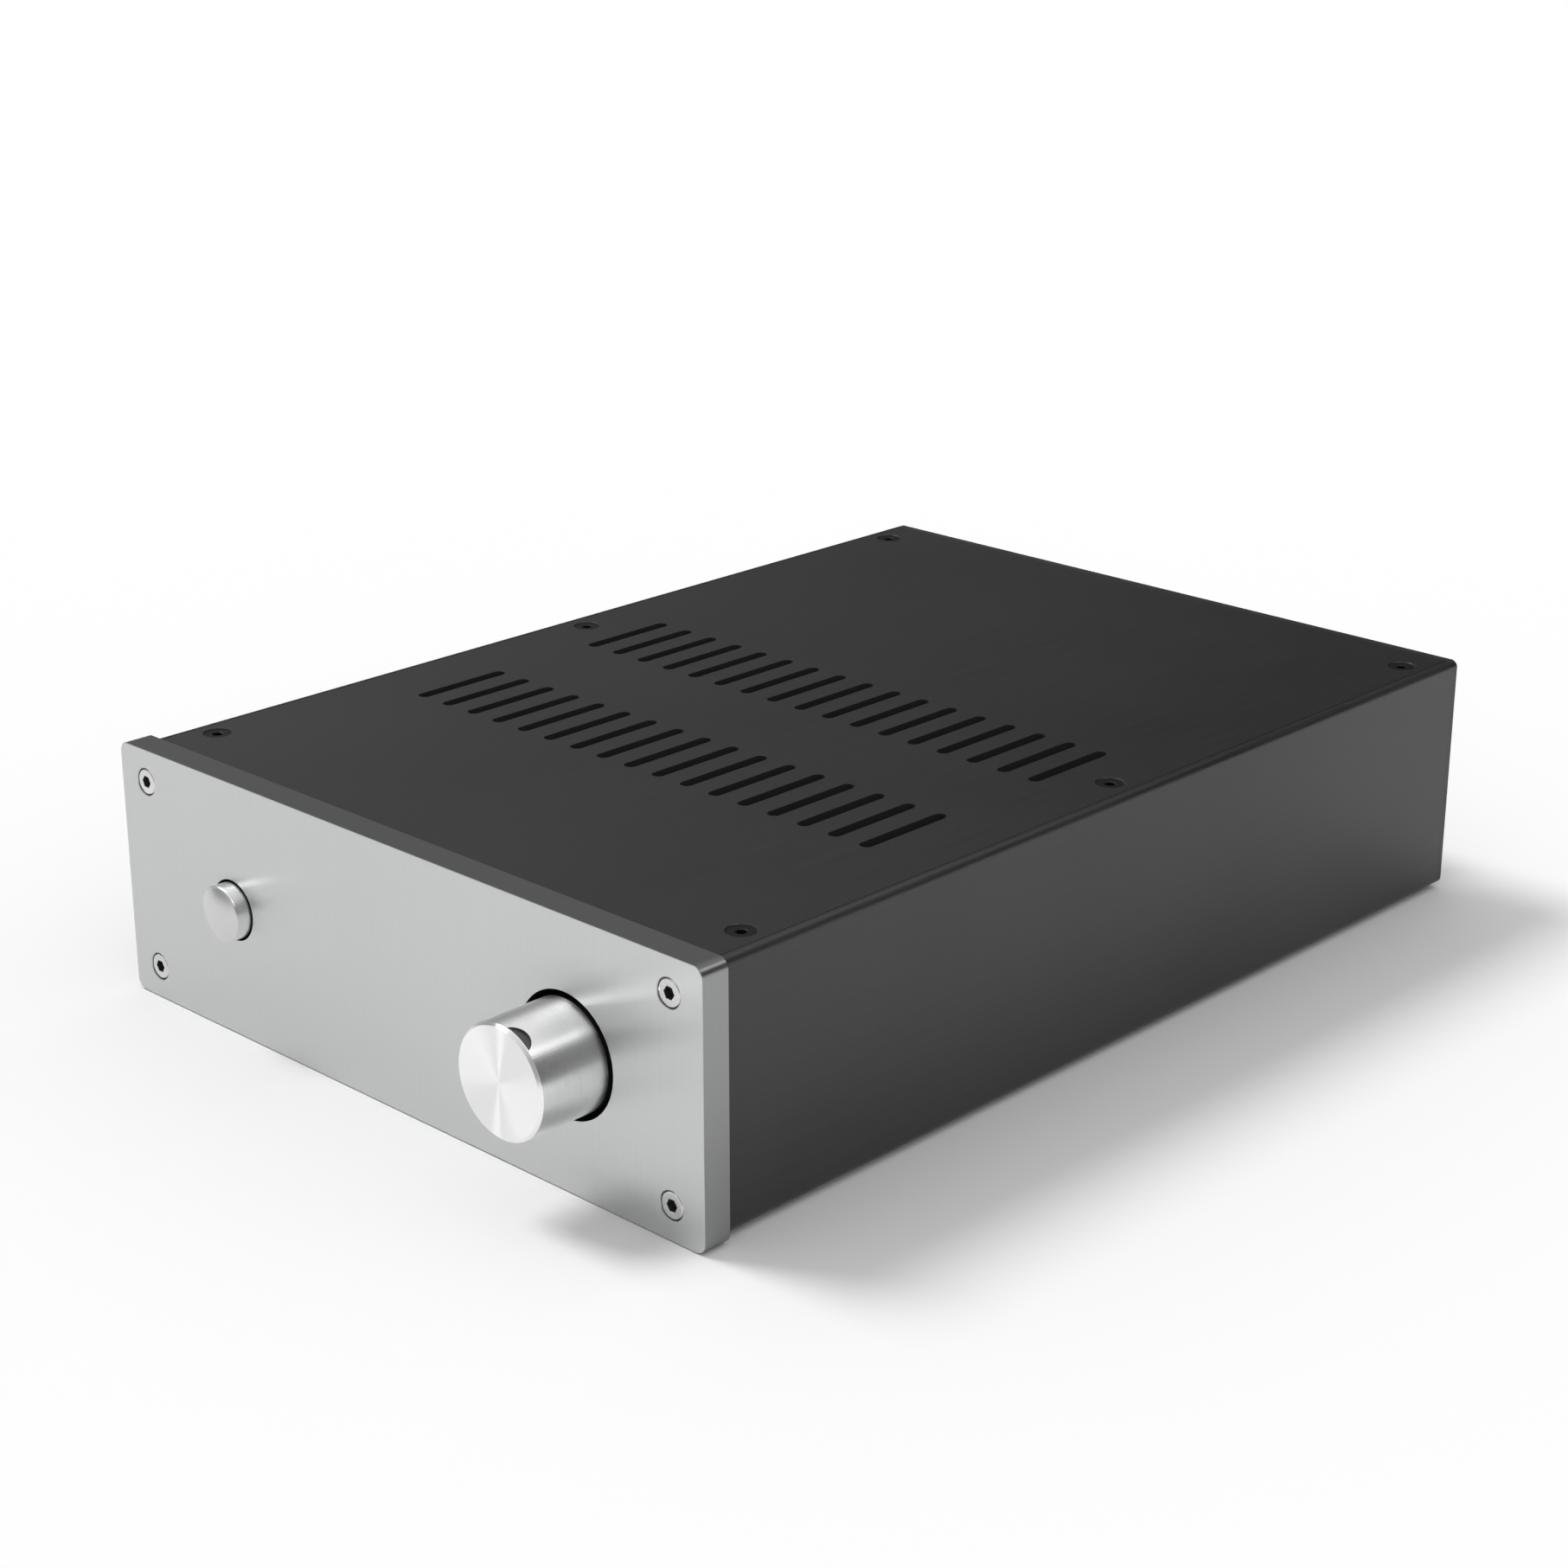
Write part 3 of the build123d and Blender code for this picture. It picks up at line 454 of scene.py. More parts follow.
# the black parts share their brushing; inside the case their colour is near black, as painted shade
blackMetalLook = {
    "along": 30, "across": 5000, "metallic": 0, "stretch": 0.5,
    "dark": (0.014, 0.014, 0.015), "rough": (0.3, 0.42),
    "inside": ((0, 0.95 * mm, 35.4 * mm), (103.6 * mm, 149.5 * mm, 33.72 * mm)),  # its middle and half sizes
    "insideColour": grey(0.004), "insideRough": 0.9,
}
railLook = dict(blackMetalLook, brush=(0, 1, 0.05), light=(0.034, 0.034, 0.035), bump=0.06)
finishes["black_rail"] = brushedMetal("blackRail", railLook)
coverLook = dict(blackMetalLook, brush=(0, 1, 0.05), light=(0.026, 0.026, 0.027), bump=0.05)
finishes["black_cover"] = brushedMetal("blackCover", coverLook)
rearPanelLook = dict(blackMetalLook, brush=(1, 0, 0.05), along=40, light=(0.026, 0.026, 0.027), bump=0.05)
finishes["black_panel"] = brushedMetal("blackRearPanel", rearPanelLook)

boreLook = {
    "grain": 1500, "dark": grey(0.006), "light": grey(0.012), "rough": (0.8, 0.9),
    "specular": 0.1, "bump": 0.05,
}
boreShade = plainFinish("boreShade", boreLook)

knobLook = {
    "side": {"centre": knobCentre, "across": 9000, "round": 1.5, "stretch": 0.8, "bump": 0.03,
             "dark": grey(0.85), "light": grey(0.93), "rough": (0.27, 0.31)},
    "face": {"centre": knobCentre, "across": 9000, "round": 1.0, "stretch": 1.0, "bump": 0.0,
             "dark": grey(0.98), "light": grey(0.99), "rough": (0.315, 0.325)},
    # the half-moon's floor and walls are coloured dark grey
    "mark": {"grain": 2500, "dark": grey(0.07), "light": grey(0.085), "rough": (0.55, 0.65), "bump": 0.05},
    "sizes": {
        "Radius": 14.3 * mm, "Rim": 0.7 * mm, "Length": 23.2 * mm, "Stands out": 20.2 * mm,
        "Hollow radius": 8.5 * mm, "Hollow depth": 5.5 * mm,
        "Bore radius": 3.05 * mm, "Bore depth": 12.0 * mm,
        "Mark lip": 1.0 * mm, "Mark radius": 4.2 * mm, "Mark length": 2.7 * mm, "Mark depth": 0.8 * mm,
        "Mark angle": math.radians(-64.5), "Screw hole radius": 1.5 * mm, "Screw hole place": 12.7 * mm,
    },
}
knobSide = spunMetal("spunKnobSide", knobLook["side"])
knobFace = spunMetal("spunKnobFace", knobLook["face"])
knobMark = plainFinish("knobMarkDark", knobLook["mark"])
finishes["knob_metal"] = knobSide

buttonLook = {
    "side": {"centre": buttonCentre, "across": 9000, "round": 1.5, "stretch": 0.2, "bump": 0.0,
             "dark": grey(0.90), "light": grey(0.95), "rough": (0.33, 0.36)},
    "face": {"grain": 900, "dark": (0.60, 0.605, 0.60), "light": (0.62, 0.625, 0.62), "rough": (0.28, 0.30),
             "metallic": 1, "bump": 0.0},
    "sizes": {
        "Radius": 7.5 * mm, "Dome rise": 1.5 * mm, "Rim": 0.4 * mm, "Length": 14.75 * mm,
        "Stands out": 5.75 * mm, "Pocket side": 3.2 * mm, "Pocket depth": 6.0 * mm,
    },
}
buttonSide = spunMetal("spunButtonSide", buttonLook["side"])
buttonFace = plainFinish("polishedButtonFace", buttonLook["face"])
finishes["button_metal"] = buttonSide

brightScrewLook = {
    "grain": 900, "dark": grey(0.6), "light": grey(0.72), "rough": (0.2, 0.3),
    "metallic": 1, "bump": 0.05,
}
finishes["bright_screws"] = plainFinish("brightSteel", brightScrewLook)

blackScrewLook = {
    "grain": 1500, "dark": grey(0.004), "light": grey(0.008), "rough": (0.4, 0.5),
    "specular": 0.2, "bump": 0.1,
}
finishes["black_screws"] = plainFinish("blackSteel", blackScrewLook)

shaftLook = {
    "grain": 900, "dark": (0.55, 0.55, 0.54), "light": (0.66, 0.66, 0.65), "rough": (0.25, 0.35),
    "metallic": 1, "bump": 0.05,
}
finishes["plated_shaft"] = plainFinish("platedShaft", shaftLook)

zincLook = {
    "grain": 1200, "dark": (0.42, 0.42, 0.43), "light": (0.55, 0.55, 0.56), "rough": (0.45, 0.6),
    "metallic": 1, "bump": 0.2,
}
finishes["cast_zinc"] = plainFinish("castZinc", zincLook)

bracketLook = {
    "grain": 700, "dark": (0.5, 0.5, 0.48), "light": (0.63, 0.63, 0.6), "rough": (0.3, 0.42),
    "metallic": 1, "bump": 0.1,
}
finishes["bracket_steel"] = plainFinish("bracketSteel", bracketLook)

tinnedLook = {
    "grain": 900, "dark": (0.62, 0.62, 0.6), "light": (0.74, 0.74, 0.72), "rough": (0.3, 0.42),
    "metallic": 1, "bump": 0.1,
}
finishes["tinned_brass"] = plainFinish("tinnedBrass", tinnedLook)

giltLook = {
    "grain": 900, "dark": (0.78, 0.56, 0.22), "light": (0.88, 0.66, 0.3), "rough": (0.16, 0.24),
    "metallic": 1, "bump": 0.05,
}
finishes["gilt_brass"] = plainFinish("giltBrass", giltLook)

footLook = {"grain": 2500, "dark": grey(0.014), "light": grey(0.024), "rough": (0.75, 0.9), "bump": 0.3}
finishes["foot_rubber"] = plainFinish("footRubber", footLook)

resinLook = {"grain": 2500, "dark": grey(0.016), "light": grey(0.026), "rough": (0.45, 0.6), "bump": 0.2}
finishes["black_resin"] = plainFinish("blackResin", resinLook)

switchLook = {"grain": 2500, "dark": grey(0.02), "light": grey(0.03), "rough": (0.45, 0.6), "bump": 0.2}
finishes["switch_plastic"] = plainFinish("switchPlastic", switchLook)

inletLook = {"grain": 2500, "dark": grey(0.014), "light": grey(0.022), "rough": (0.4, 0.55), "bump": 0.2}
finishes["inlet_plastic"] = plainFinish("inletPlastic", inletLook)

coreLook = {
    "grain": 2000, "dark": (0.68, 0.68, 0.65), "light": (0.78, 0.78, 0.75), "rough": (0.35, 0.5),
    "bump": 0.1,
}
finishes["white_plastic"] = plainFinish("whitePlastic", coreLook)

whiteRingLook = {
    "grain": 2000, "dark": (0.66, 0.66, 0.64), "light": (0.76, 0.76, 0.74), "rough": (0.25, 0.35),
    "bump": 0.05,
}
finishes["white_ring"] = plainFinish("whiteRing", whiteRingLook)

redRingLook = {
    "grain": 2000, "dark": (0.42, 0.012, 0.012), "light": (0.55, 0.02, 0.02), "rough": (0.22, 0.32),
    "bump": 0.05,
}
finishes["red_plastic"] = plainFinish("redPlastic", redRingLook)

redCapLook = {
    "grain": 2000, "dark": (0.40, 0.012, 0.012), "light": (0.52, 0.02, 0.02), "rough": (0.2, 0.3),
    "bump": 0.05,
}
finishes["red_cap"] = plainFinish("redCap", redCapLook)

blackCapLook = {"grain": 2000, "dark": grey(0.012), "light": grey(0.02), "rough": (0.2, 0.3), "bump": 0.05}
finishes["black_cap"] = plainFinish("blackCap", blackCapLook)

slotOf = {entry["node"]: entry["material_slot"] for entry in frame["record"]["subparts"]}
for name, obj in nodes.items():
    obj.data.materials.clear()
    obj.data.materials.append(finishes[slotOf[name]])
print("finishes ready")


# geometry node trees
def newTree(name, sizes):
    # a tree whose named inputs are the sizes; it gets the places as points
    tree = bpy.data.node_groups.new(name, "GeometryNodeTree")
    tree.interface.new_socket("Geometry", in_out="OUTPUT", socket_type="NodeSocketGeometry")
    tree.interface.new_socket("Places", in_out="INPUT", socket_type="NodeSocketGeometry")
    kinds = {int: "NodeSocketInt", tuple: "NodeSocketVector", float: "NodeSocketFloat"}
    for label, value in sizes.items():
        tree.interface.new_socket(label, in_out="INPUT", socket_type=kinds[type(value)])
    return tree, tree.nodes.new("NodeGroupInput").outputs


def endTree(tree, geometry, *materials):
    # edges over the sharpest smooth angle stay sharp, then one real mesh with a material for each zone
    sharpest = math.radians(30)
    sharp = calc(tree, "GREATER_THAN", out(tree, "GeometryNodeInputMeshEdgeAngle"), sharpest)
    creased = {"Geometry": geometry, "Selection": sharp, "Shade Smooth": False}
    smooth = out(tree, "GeometryNodeSetShadeSmooth", creased, {"domain": "EDGE"})
    made = out(tree, "GeometryNodeRealizeInstances", {"Geometry": smooth})
    zone = put(tree, "GeometryNodeInputNamedAttribute", {"Name": "zone"}, {"data_type": "INT"})
    for number, material in enumerate(materials):
        pair = {2: zone.outputs["Attribute"], 3: number}
        here = out(tree, "FunctionNodeCompare", pair, {"data_type": "INT", "operation": "EQUAL"})
        chosen = {"Geometry": made, "Selection": here, "Material": material}
        made = out(tree, "GeometryNodeSetMaterial", chosen)
    put(tree, "NodeGroupOutput", {0: made})


def runTree(name, tree, points, sizes, body, slot, *replaced):
    # the places as loose points, the tree on them, and its result as a plain mesh
    obj = plainMesh(name, points, [])
    modifier = obj.modifiers.new("shape", "NODES")
    modifier.node_group = tree
    for item in tree.interface.items_tree:
        if item.in_out == "INPUT" and item.name in sizes:
            modifier[item.identifier] = sizes[item.name]
    graph = bpy.context.evaluated_depsgraph_get()
    shown = obj.evaluated_get(graph)
    mesh = bpy.data.meshes.new_from_object(shown, preserve_all_data_layers=True, depsgraph=graph)
    obj.modifiers.remove(modifier)
    obj.data = mesh
    mesh.name = name
    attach(obj, body)
    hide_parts(*replaced)
    print(name, len(mesh.vertices), "points", len(mesh.polygons), "faces")


def position(tree):
    return out(tree, "GeometryNodeInputPosition")


def fromAxis(tree):
    # how far a point lies from the axis that stands up
    return vec(tree, "LENGTH", vec(tree, "MULTIPLY", position(tree), (1, 1, 0)))


def moved(tree, geometry, shift):
    return out(tree, "GeometryNodeTransform", {"Geometry": geometry, "Translation": shift})


def turned(tree, geometry, turn):
    return out(tree, "GeometryNodeTransform", {"Geometry": geometry, "Rotation": turn})


def flipped(tree, mesh):
    return out(tree, "GeometryNodeFlipFaces", {"Mesh": mesh})


def merged(tree, geometry, distance):
    return out(tree, "GeometryNodeMergeByDistance", {"Geometry": geometry, "Distance": distance})


def joined(tree, *parts):
    node = put(tree, "GeometryNodeJoinGeometry")
    for part in parts:
        tree.links.new(part, node.inputs[0])
    return node.outputs[0]


def stood(tree, points, solid, turn=(0, 0, 0)):
    return out(tree, "GeometryNodeInstanceOnPoints", {"Points": points, "Instance": solid, "Rotation": turn})


def disc(tree, steps, radius):
    return out(tree, "GeometryNodeMeshCircle", {"Vertices": steps, "Radius": radius}, {"fill_type": "NGON"})


def grow(tree, state, lift, radius):
    # one more ring of a turned solid: the top face is lifted, then sized
    mesh, top, old = state
    grown = put(tree, "GeometryNodeExtrudeMesh", {"Mesh": mesh, "Offset Scale": lift, "Individual": False},
                {"mode": "FACES"})
    if top is not None:
        tree.links.new(top, grown.inputs["Selection"])
    top = grown.outputs["Top"]
    sizing = {"Geometry": grown.outputs["Mesh"], "Selection": top, "Scale": over(tree, radius, old)}
    return out(tree, "GeometryNodeScaleElements", sizing, {"domain": "FACE"}), top, radius


def toPolygon(tree, state, flats, sides):
    # moves the top ring from a circle onto a polygon
    mesh, top, old = state
    parts = split(tree, position(tree))
    angle = calc(tree, "ARCTAN2", parts["Y"], parts["X"])
    fold = less(tree, calc(tree, "FLOORED_MODULO", angle, 2 * math.pi / sides), math.pi / sides)
    reach = over(tree, times(tree, flats, 0.5), calc(tree, "COSINE", fold))
    x = times(tree, reach, calc(tree, "COSINE", angle))
    y = times(tree, reach, calc(tree, "SINE", angle))
    target = {"Geometry": mesh, "Selection": top, "Position": xyz(tree, x, y, parts["Z"])}
    return out(tree, "GeometryNodeSetPosition", target), top, old


def closed(tree, start, grown):
    # the first disc, turned over, closes the start of a turned solid
    return merged(tree, joined(tree, flipped(tree, start), grown), hair)


def zoned(tree, geometry, number, selection=True):
    # numbers the faces that get the same material
    inputs = {"Geometry": geometry, "Name": "zone", "Selection": selection, "Value": number}
    return out(tree, "GeometryNodeStoreNamedAttribute", inputs, {"data_type": "INT", "domain": "FACE"})


# shared by every screw: its steps round, the drill's cone as shares of the flats and of the corner,
# how far down the socket its shade starts, and the seed for how far each screw is turned
socketShape = {"steps": 48, "coneDepth": 0.12, "coneEnd": 0.3, "shadeStart": 0.3, "slack": 1.001, "seed": 4}


def makeScrewTree(name, look, headRings, metal, shade):
    # a hexagon socket screw that stands on its tip, stood on every place
    tree, size = newTree(name, look)
    tip = less(tree, size["Shank radius"], size["Tip chamfer"])
    start = disc(tree, socketShape["steps"], tip)
    state = grow(tree, (start, None, tip), size["Tip chamfer"], size["Shank radius"])
    state = grow(tree, state, less(tree, size["Shank length"], size["Tip chamfer"]), size["Shank radius"])
    headTop = size["Shank length"]
    for lift, radius in headRings(tree, size):
        state = grow(tree, state, lift, radius)
        headTop = add(tree, headTop, lift)
    corner = over(tree, times(tree, size["Socket flats"], 0.5), math.cos(math.radians(30)))
    state = grow(tree, state, 0.0, add(tree, corner, size["Socket mouth"]))
    state = grow(tree, state, times(tree, size["Socket mouth"], -1), corner)
    state = toPolygon(tree, state, size["Socket flats"], 6)
    state = grow(tree, state, times(tree, size["Socket depth"], -1), corner)
    cone = times(tree, size["Socket flats"], -socketShape["coneDepth"])
    state = grow(tree, state, cone, times(tree, corner, socketShape["coneEnd"]))
    solid = zoned(tree, closed(tree, start, state[0]), 0)
    shadeTop = less(tree, headTop, times(tree, size["Socket depth"], socketShape["shadeStart"]))
    sunk = between(tree, split(tree, position(tree))["Z"], size["Shank length"], shadeTop)
    near = calc(tree, "LESS_THAN", fromAxis(tree), times(tree, corner, socketShape["slack"]))
    solid = zoned(tree, solid, 1, times(tree, sunk, near))
    loose = size["Loose turn"]
    turns = {"Min": times(tree, loose, -1), "Max": loose, "Seed": socketShape["seed"]}
    chance = put(tree, "FunctionNodeRandomValue", turns, {"data_type": "FLOAT"}).outputs[1]
    screws = stood(tree, size["Places"], solid, size["Lean"])
    spin = {"Instances": screws, "Rotation": xyz(tree, 0, 0, chance), "Local Space": True}
    endTree(tree, out(tree, "GeometryNodeRotateInstances", spin), metal, shade)
    return tree


def roundedHead(tree, size):
    # the cap of a cap screw, with a rounded rim of three steps
    steps = 3
    rings = [(0.0, size["Head radius"]), (less(tree, size["Head height"], size["Rim"]), size["Head radius"])]
    for step in range(steps):
        old, new = [math.pi / 2 * part / steps for part in (step, step + 1)]
        lift = times(tree, size["Rim"], math.sin(new) - math.sin(old))
        rings.append((lift, less(tree, size["Head radius"], times(tree, size["Rim"], 1 - math.cos(new)))))
    return rings


def domedHead(tree, size):
    # a button head: five rings on an arc of 60 degrees, up to its small flat
    steps, arc = 5, math.radians(60)
    rings = [(0.0, size["Head radius"])]
    for step in range(steps):
        old, new = [arc * part / steps for part in (step, step + 1)]
        lift = times(tree, size["Head height"], (math.sin(new) - math.sin(old)) / math.sin(arc))
        rings.append((lift, times(tree, size["Head radius"], math.cos(new))))
    return rings


def sunkHead(tree, size):
    # a countersunk head: a 90 degree cone and a narrow rim
    cone = less(tree, size["Head radius"], size["Shank radius"])
    return [(less(tree, cone, size["Rim"]), less(tree, size["Head radius"], size["Rim"])),
            (size["Rim"], size["Head radius"])]


def screwPoints(node, headRadius, axis, tipSide, rows=2):
    # the screws' places from the node's own box, at the tips
    low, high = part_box(node)
    across = [i for i in range(3) if i != axis]
    ends = [(low[i] + headRadius, high[i] - headRadius) for i in across]
    tip = (low if tipSide < 0 else high)[axis]
    points = []
    for first in ends[0]:
        for row in range(rows):
            second = ends[1][0] + (ends[1][1] - ends[1][0]) * row / (rows - 1)
            point = [0, 0, 0]
            point[across[0]], point[across[1]], point[axis] = first, second, tip
            points.append(tuple(point))
    return points


socketShadeLook = {
    "grain": 1500, "dark": grey(0.03), "light": grey(0.05), "rough": (0.5, 0.6),
    "specular": 0.2, "bump": 0.05,
}
socketShade = plainFinish("socketShade", socketShadeLook)
brightSteel = finishes["bright_screws"]
blackSteel = finishes["black_screws"]

frontScrewLook = {
    "Shank radius": 1.95 * mm, "Shank length": 16.0 * mm, "Tip chamfer": 0.5 * mm,
    "Head radius": 3.5 * mm, "Head height": 4.0 * mm, "Rim": 0.5 * mm,
    "Socket flats": 3.0 * mm, "Socket depth": 1.8 * mm, "Socket mouth": 0.03 * mm,
    "Lean": (math.radians(90), 0.0, 0.0), "Loose turn": 0.1,
}
frontScrewTree = makeScrewTree("capScrew", frontScrewLook, roundedHead, brightSteel, socketShade)
frontScrewPoints = screwPoints("front_panel_screws", frontScrewLook["Head radius"], axis=1, tipSide=1)
runTree("panelCapScrews", frontScrewTree, frontScrewPoints, frontScrewLook,
        "chassis", "bright_screws", "front_panel_screws")

rearScrewLook = {
    "Shank radius": 1.95 * mm, "Shank length": 10.0 * mm, "Tip chamfer": 0.5 * mm,
    "Head radius": 3.8 * mm, "Head height": 2.2 * mm, "Rim": 0.3 * mm,
    "Socket flats": 2.5 * mm, "Socket depth": 1.1 * mm, "Socket mouth": 0.15 * mm,
    "Lean": (math.radians(-90), 0.0, 0.0), "Loose turn": 0.5,
}
rearScrewTree = makeScrewTree("buttonHeadScrew", rearScrewLook, domedHead, blackSteel, blackSteel)
rearScrewPoints = screwPoints("rear_panel_screws", rearScrewLook["Head radius"], axis=1, tipSide=-1)
runTree("rearButtonScrews", rearScrewTree, rearScrewPoints, rearScrewLook,
        "chassis", "black_screws", "rear_panel_screws")

coverScrewLook = {
    "Shank radius": 1.95 * mm, "Shank length": 4.4 * mm, "Tip chamfer": 0.3 * mm,
    "Head radius": 3.55 * mm, "Rim": 0.15 * mm,
    "Socket flats": 2.5 * mm, "Socket depth": 1.15 * mm, "Socket mouth": 0.15 * mm,
    "Lean": (0.0, 0.0, 0.0), "Loose turn": 0.5,
}
coverScrewTree = makeScrewTree("countersunkScrew", coverScrewLook, sunkHead, blackSteel, blackSteel)
sunkRadius = coverScrewLook["Head radius"]
topScrewPoints = screwPoints("top_cover_screws", sunkRadius, axis=2, tipSide=-1, rows=3)
runTree("topSunkScrews", coverScrewTree, topScrewPoints, coverScrewLook,
        "chassis", "black_screws", "top_cover_screws")
underScrewLook = dict(coverScrewLook, Lean=(math.radians(180), 0.0, 0.0))
underScrewPoints = screwPoints("bottom_cover_screws", sunkRadius, axis=2, tipSide=1, rows=3)
runTree("underSunkScrews", coverScrewTree, underScrewPoints, underScrewLook,
        "chassis", "black_screws", "bottom_cover_screws")
print("screws ready")

towardsBack = (math.radians(-90), 0, 0)  # lays a turned solid's axis from the front to the back


def makeButtonTree():
    # turned from the crown of its dome to the square pocket for the switch's plunger
    tree, size = newTree("pushButton", buttonLook["sizes"])
    sides, domeRings, rimSteps = 96, 14, 4
    halfDiagonal = 0.7  # the pocket's corner from its middle, as a share of its side
    rimShare = 0.6  # how much of the rim shines like the face
    crown = over(tree, size["Radius"], domeRings)
    start = disc(tree, sides, crown)
    state = (start, None, crown)
    edge = less(tree, size["Radius"], size["Rim"])
    for ring in range(2, domeRings + 1):
        lift = times(tree, size["Dome rise"], (ring ** 2 - (ring - 1) ** 2) / domeRings ** 2)
        state = grow(tree, state, lift, times(tree, edge, ring / domeRings))
    for step in range(rimSteps):
        old, new = [math.pi / 2 * part / rimSteps for part in (step, step + 1)]
        lift = times(tree, size["Rim"], math.cos(old) - math.cos(new))
        state = grow(tree, state, lift, add(tree, edge, times(tree, size["Rim"], math.sin(new))))
    shown = less(tree, size["Stands out"], add(tree, size["Dome rise"], size["Rim"]))
    pocket = times(tree, size["Pocket side"], halfDiagonal)
    state = grow(tree, state, shown, size["Radius"])
    state = grow(tree, state, less(tree, size["Length"], size["Stands out"]), size["Radius"])
    state = grow(tree, state, 0.0, pocket)
    state = toPolygon(tree, state, size["Pocket side"], 4)
    state = grow(tree, state, times(tree, size["Pocket depth"], -1), pocket)
    solid = zoned(tree, closed(tree, start, state[0]), 0)
    depth = split(tree, position(tree))["Z"]
    faceEnd = add(tree, size["Dome rise"], times(tree, size["Rim"], rimShare))
    solid = zoned(tree, solid, 1, calc(tree, "LESS_THAN", depth, faceEnd))
    solid = zoned(tree, solid, 2, calc(tree, "GREATER_THAN", depth, size["Stands out"]))
    endTree(tree, stood(tree, size["Places"], solid, towardsBack), buttonSide, buttonFace, boreShade)
    return tree


def moonCutter(tree, size):
    # the half-moon, the part of a circle beyond the lip, pushed in from +X with its bulge towards the back
    arcPoints, height = 25, 5 * mm
    beyond = less(tree, size["Mark radius"], size["Mark length"])
    half = calc(tree, "ARCCOSINE", over(tree, beyond, size["Mark radius"]))
    sweep = {"Resolution": arcPoints, "Radius": size["Mark radius"], "Start Angle": times(tree, half, -1),
             "Sweep Angle": times(tree, half, 2)}
    arc = out(tree, "GeometryNodeCurveArc", sweep, {"mode": "RADIUS"})
    ring = out(tree, "GeometryNodeSetSplineCyclic", {"Geometry": arc, "Cyclic": True})
    moon = out(tree, "GeometryNodeFillCurve", {"Curve": ring}, {"mode": "NGONS"})
    raising = {"Mesh": moon, "Offset Scale": height, "Individual": False}
    cutter = closed(tree, moon, out(tree, "GeometryNodeExtrudeMesh", raising, {"mode": "FACES"}))
    cutter = turned(tree, cutter, (math.radians(180), math.radians(-90), 0))
    depth = less(tree, size["Radius"], size["Mark depth"])
    return moved(tree, cutter, xyz(tree, depth, 0, less(tree, size["Mark lip"], beyond)))


def screwDrill(tree, size):
    # the set screw's hole, opposite the half-moon, from outside the knob to its bore
    sides, length, middle = 32, 15 * mm, -9.0 * mm
    rod = {"Vertices": sides, "Radius": size["Screw hole radius"], "Depth": length}
    drill = out(tree, "GeometryNodeMeshCylinder", rod)
    laid = {"Geometry": drill, "Translation": xyz(tree, middle, 0, size["Screw hole place"]),
            "Rotation": (0, math.radians(90), 0)}
    return out(tree, "GeometryNodeTransform", laid)


def makeKnobTree():
    # turned from the face to the hollow at the back, then the half-moon and the set screw's hole are cut
    tree, size = newTree("volumeKnob", knobLook["sizes"])
    sides = 144
    edge = less(tree, size["Radius"], size["Rim"])
    start = disc(tree, sides, edge)
    rings = (
        (size["Rim"], size["Radius"]),
        (less(tree, size["Stands out"], size["Rim"]), size["Radius"]),
        (less(tree, size["Length"], size["Stands out"]), size["Radius"]),
        (0.0, size["Hollow radius"]),
        (times(tree, size["Hollow depth"], -1), size["Hollow radius"]),
        (0.0, size["Bore radius"]),
        (times(tree, size["Bore depth"], -1), size["Bore radius"]),
    )
    state = (start, None, edge)
    for lift, radius in rings:
        state = grow(tree, state, lift, radius)
    solid = closed(tree, start, state[0])
    tools = joined(tree, moonCutter(tree, size), screwDrill(tree, size))
    tools = turned(tree, tools, xyz(tree, 0, 0, size["Mark angle"]))
    cutting = {"operation": "DIFFERENCE", "solver": "EXACT"}
    cut = put(tree, "GeometryNodeMeshBoolean", {"Mesh 1": solid}, cutting)
    tree.links.new(tools, cut.inputs["Mesh 2"])
    solid = zoned(tree, cut.outputs[0], 0)
    # the face, what lies behind the panel's front, and the half-moon's floor and walls, with a little slack
    depth, radius = split(tree, position(tree))["Z"], fromAxis(tree)
    faceEnd, panelStart = 0.01 * mm, add(tree, size["Stands out"], 0.1 * mm)
    solid = zoned(tree, solid, 1, calc(tree, "LESS_THAN", depth, faceEnd))
    solid = zoned(tree, solid, 2, calc(tree, "GREATER_THAN", depth, panelStart))
    moonStart = less(tree, size["Mark lip"], 0.05 * mm)
    moonEnd = add(tree, size["Mark lip"], size["Mark length"])
    moonFloor, moonTop = [less(tree, size["Radius"], below) for below in (1.2 * mm, 0.1 * mm)]
    inMoon = times(tree, between(tree, depth, moonStart, moonEnd), between(tree, radius, moonFloor, moonTop))
    solid = zoned(tree, solid, 3, inMoon)
    knobs = stood(tree, size["Places"], solid, towardsBack)
    endTree(tree, knobs, knobSide, knobFace, boreShade, knobMark)
    return tree


runTree("turnedKnob", makeKnobTree(), [knobCentre], knobLook["sizes"],
        "volume_control", "knob_metal", "volume_knob")
runTree("domedButton", makeButtonTree(), [buttonCentre], buttonLook["sizes"],
        "power_button", "button_metal", "button_cap")
print("knob and button ready")


def loop(tree, count, radius):
    # an open ring of edges that lies flat
    return out(tree, "GeometryNodeMeshCircle", {"Vertices": count, "Radius": radius}, {"fill_type": "NONE"})


def pulled(tree, edges, drop, selection=None):
    # a strip of faces from the edges, straight up or down
    inputs = {"Mesh": edges, "Offset": xyz(tree, 0, 0, drop), "Offset Scale": 1}
    node = put(tree, "GeometryNodeExtrudeMesh", inputs, {"mode": "EDGES"})
    if selection is not None:
        tree.links.new(selection, node.inputs["Selection"])
    return node.outputs["Mesh"], node.outputs["Top"]


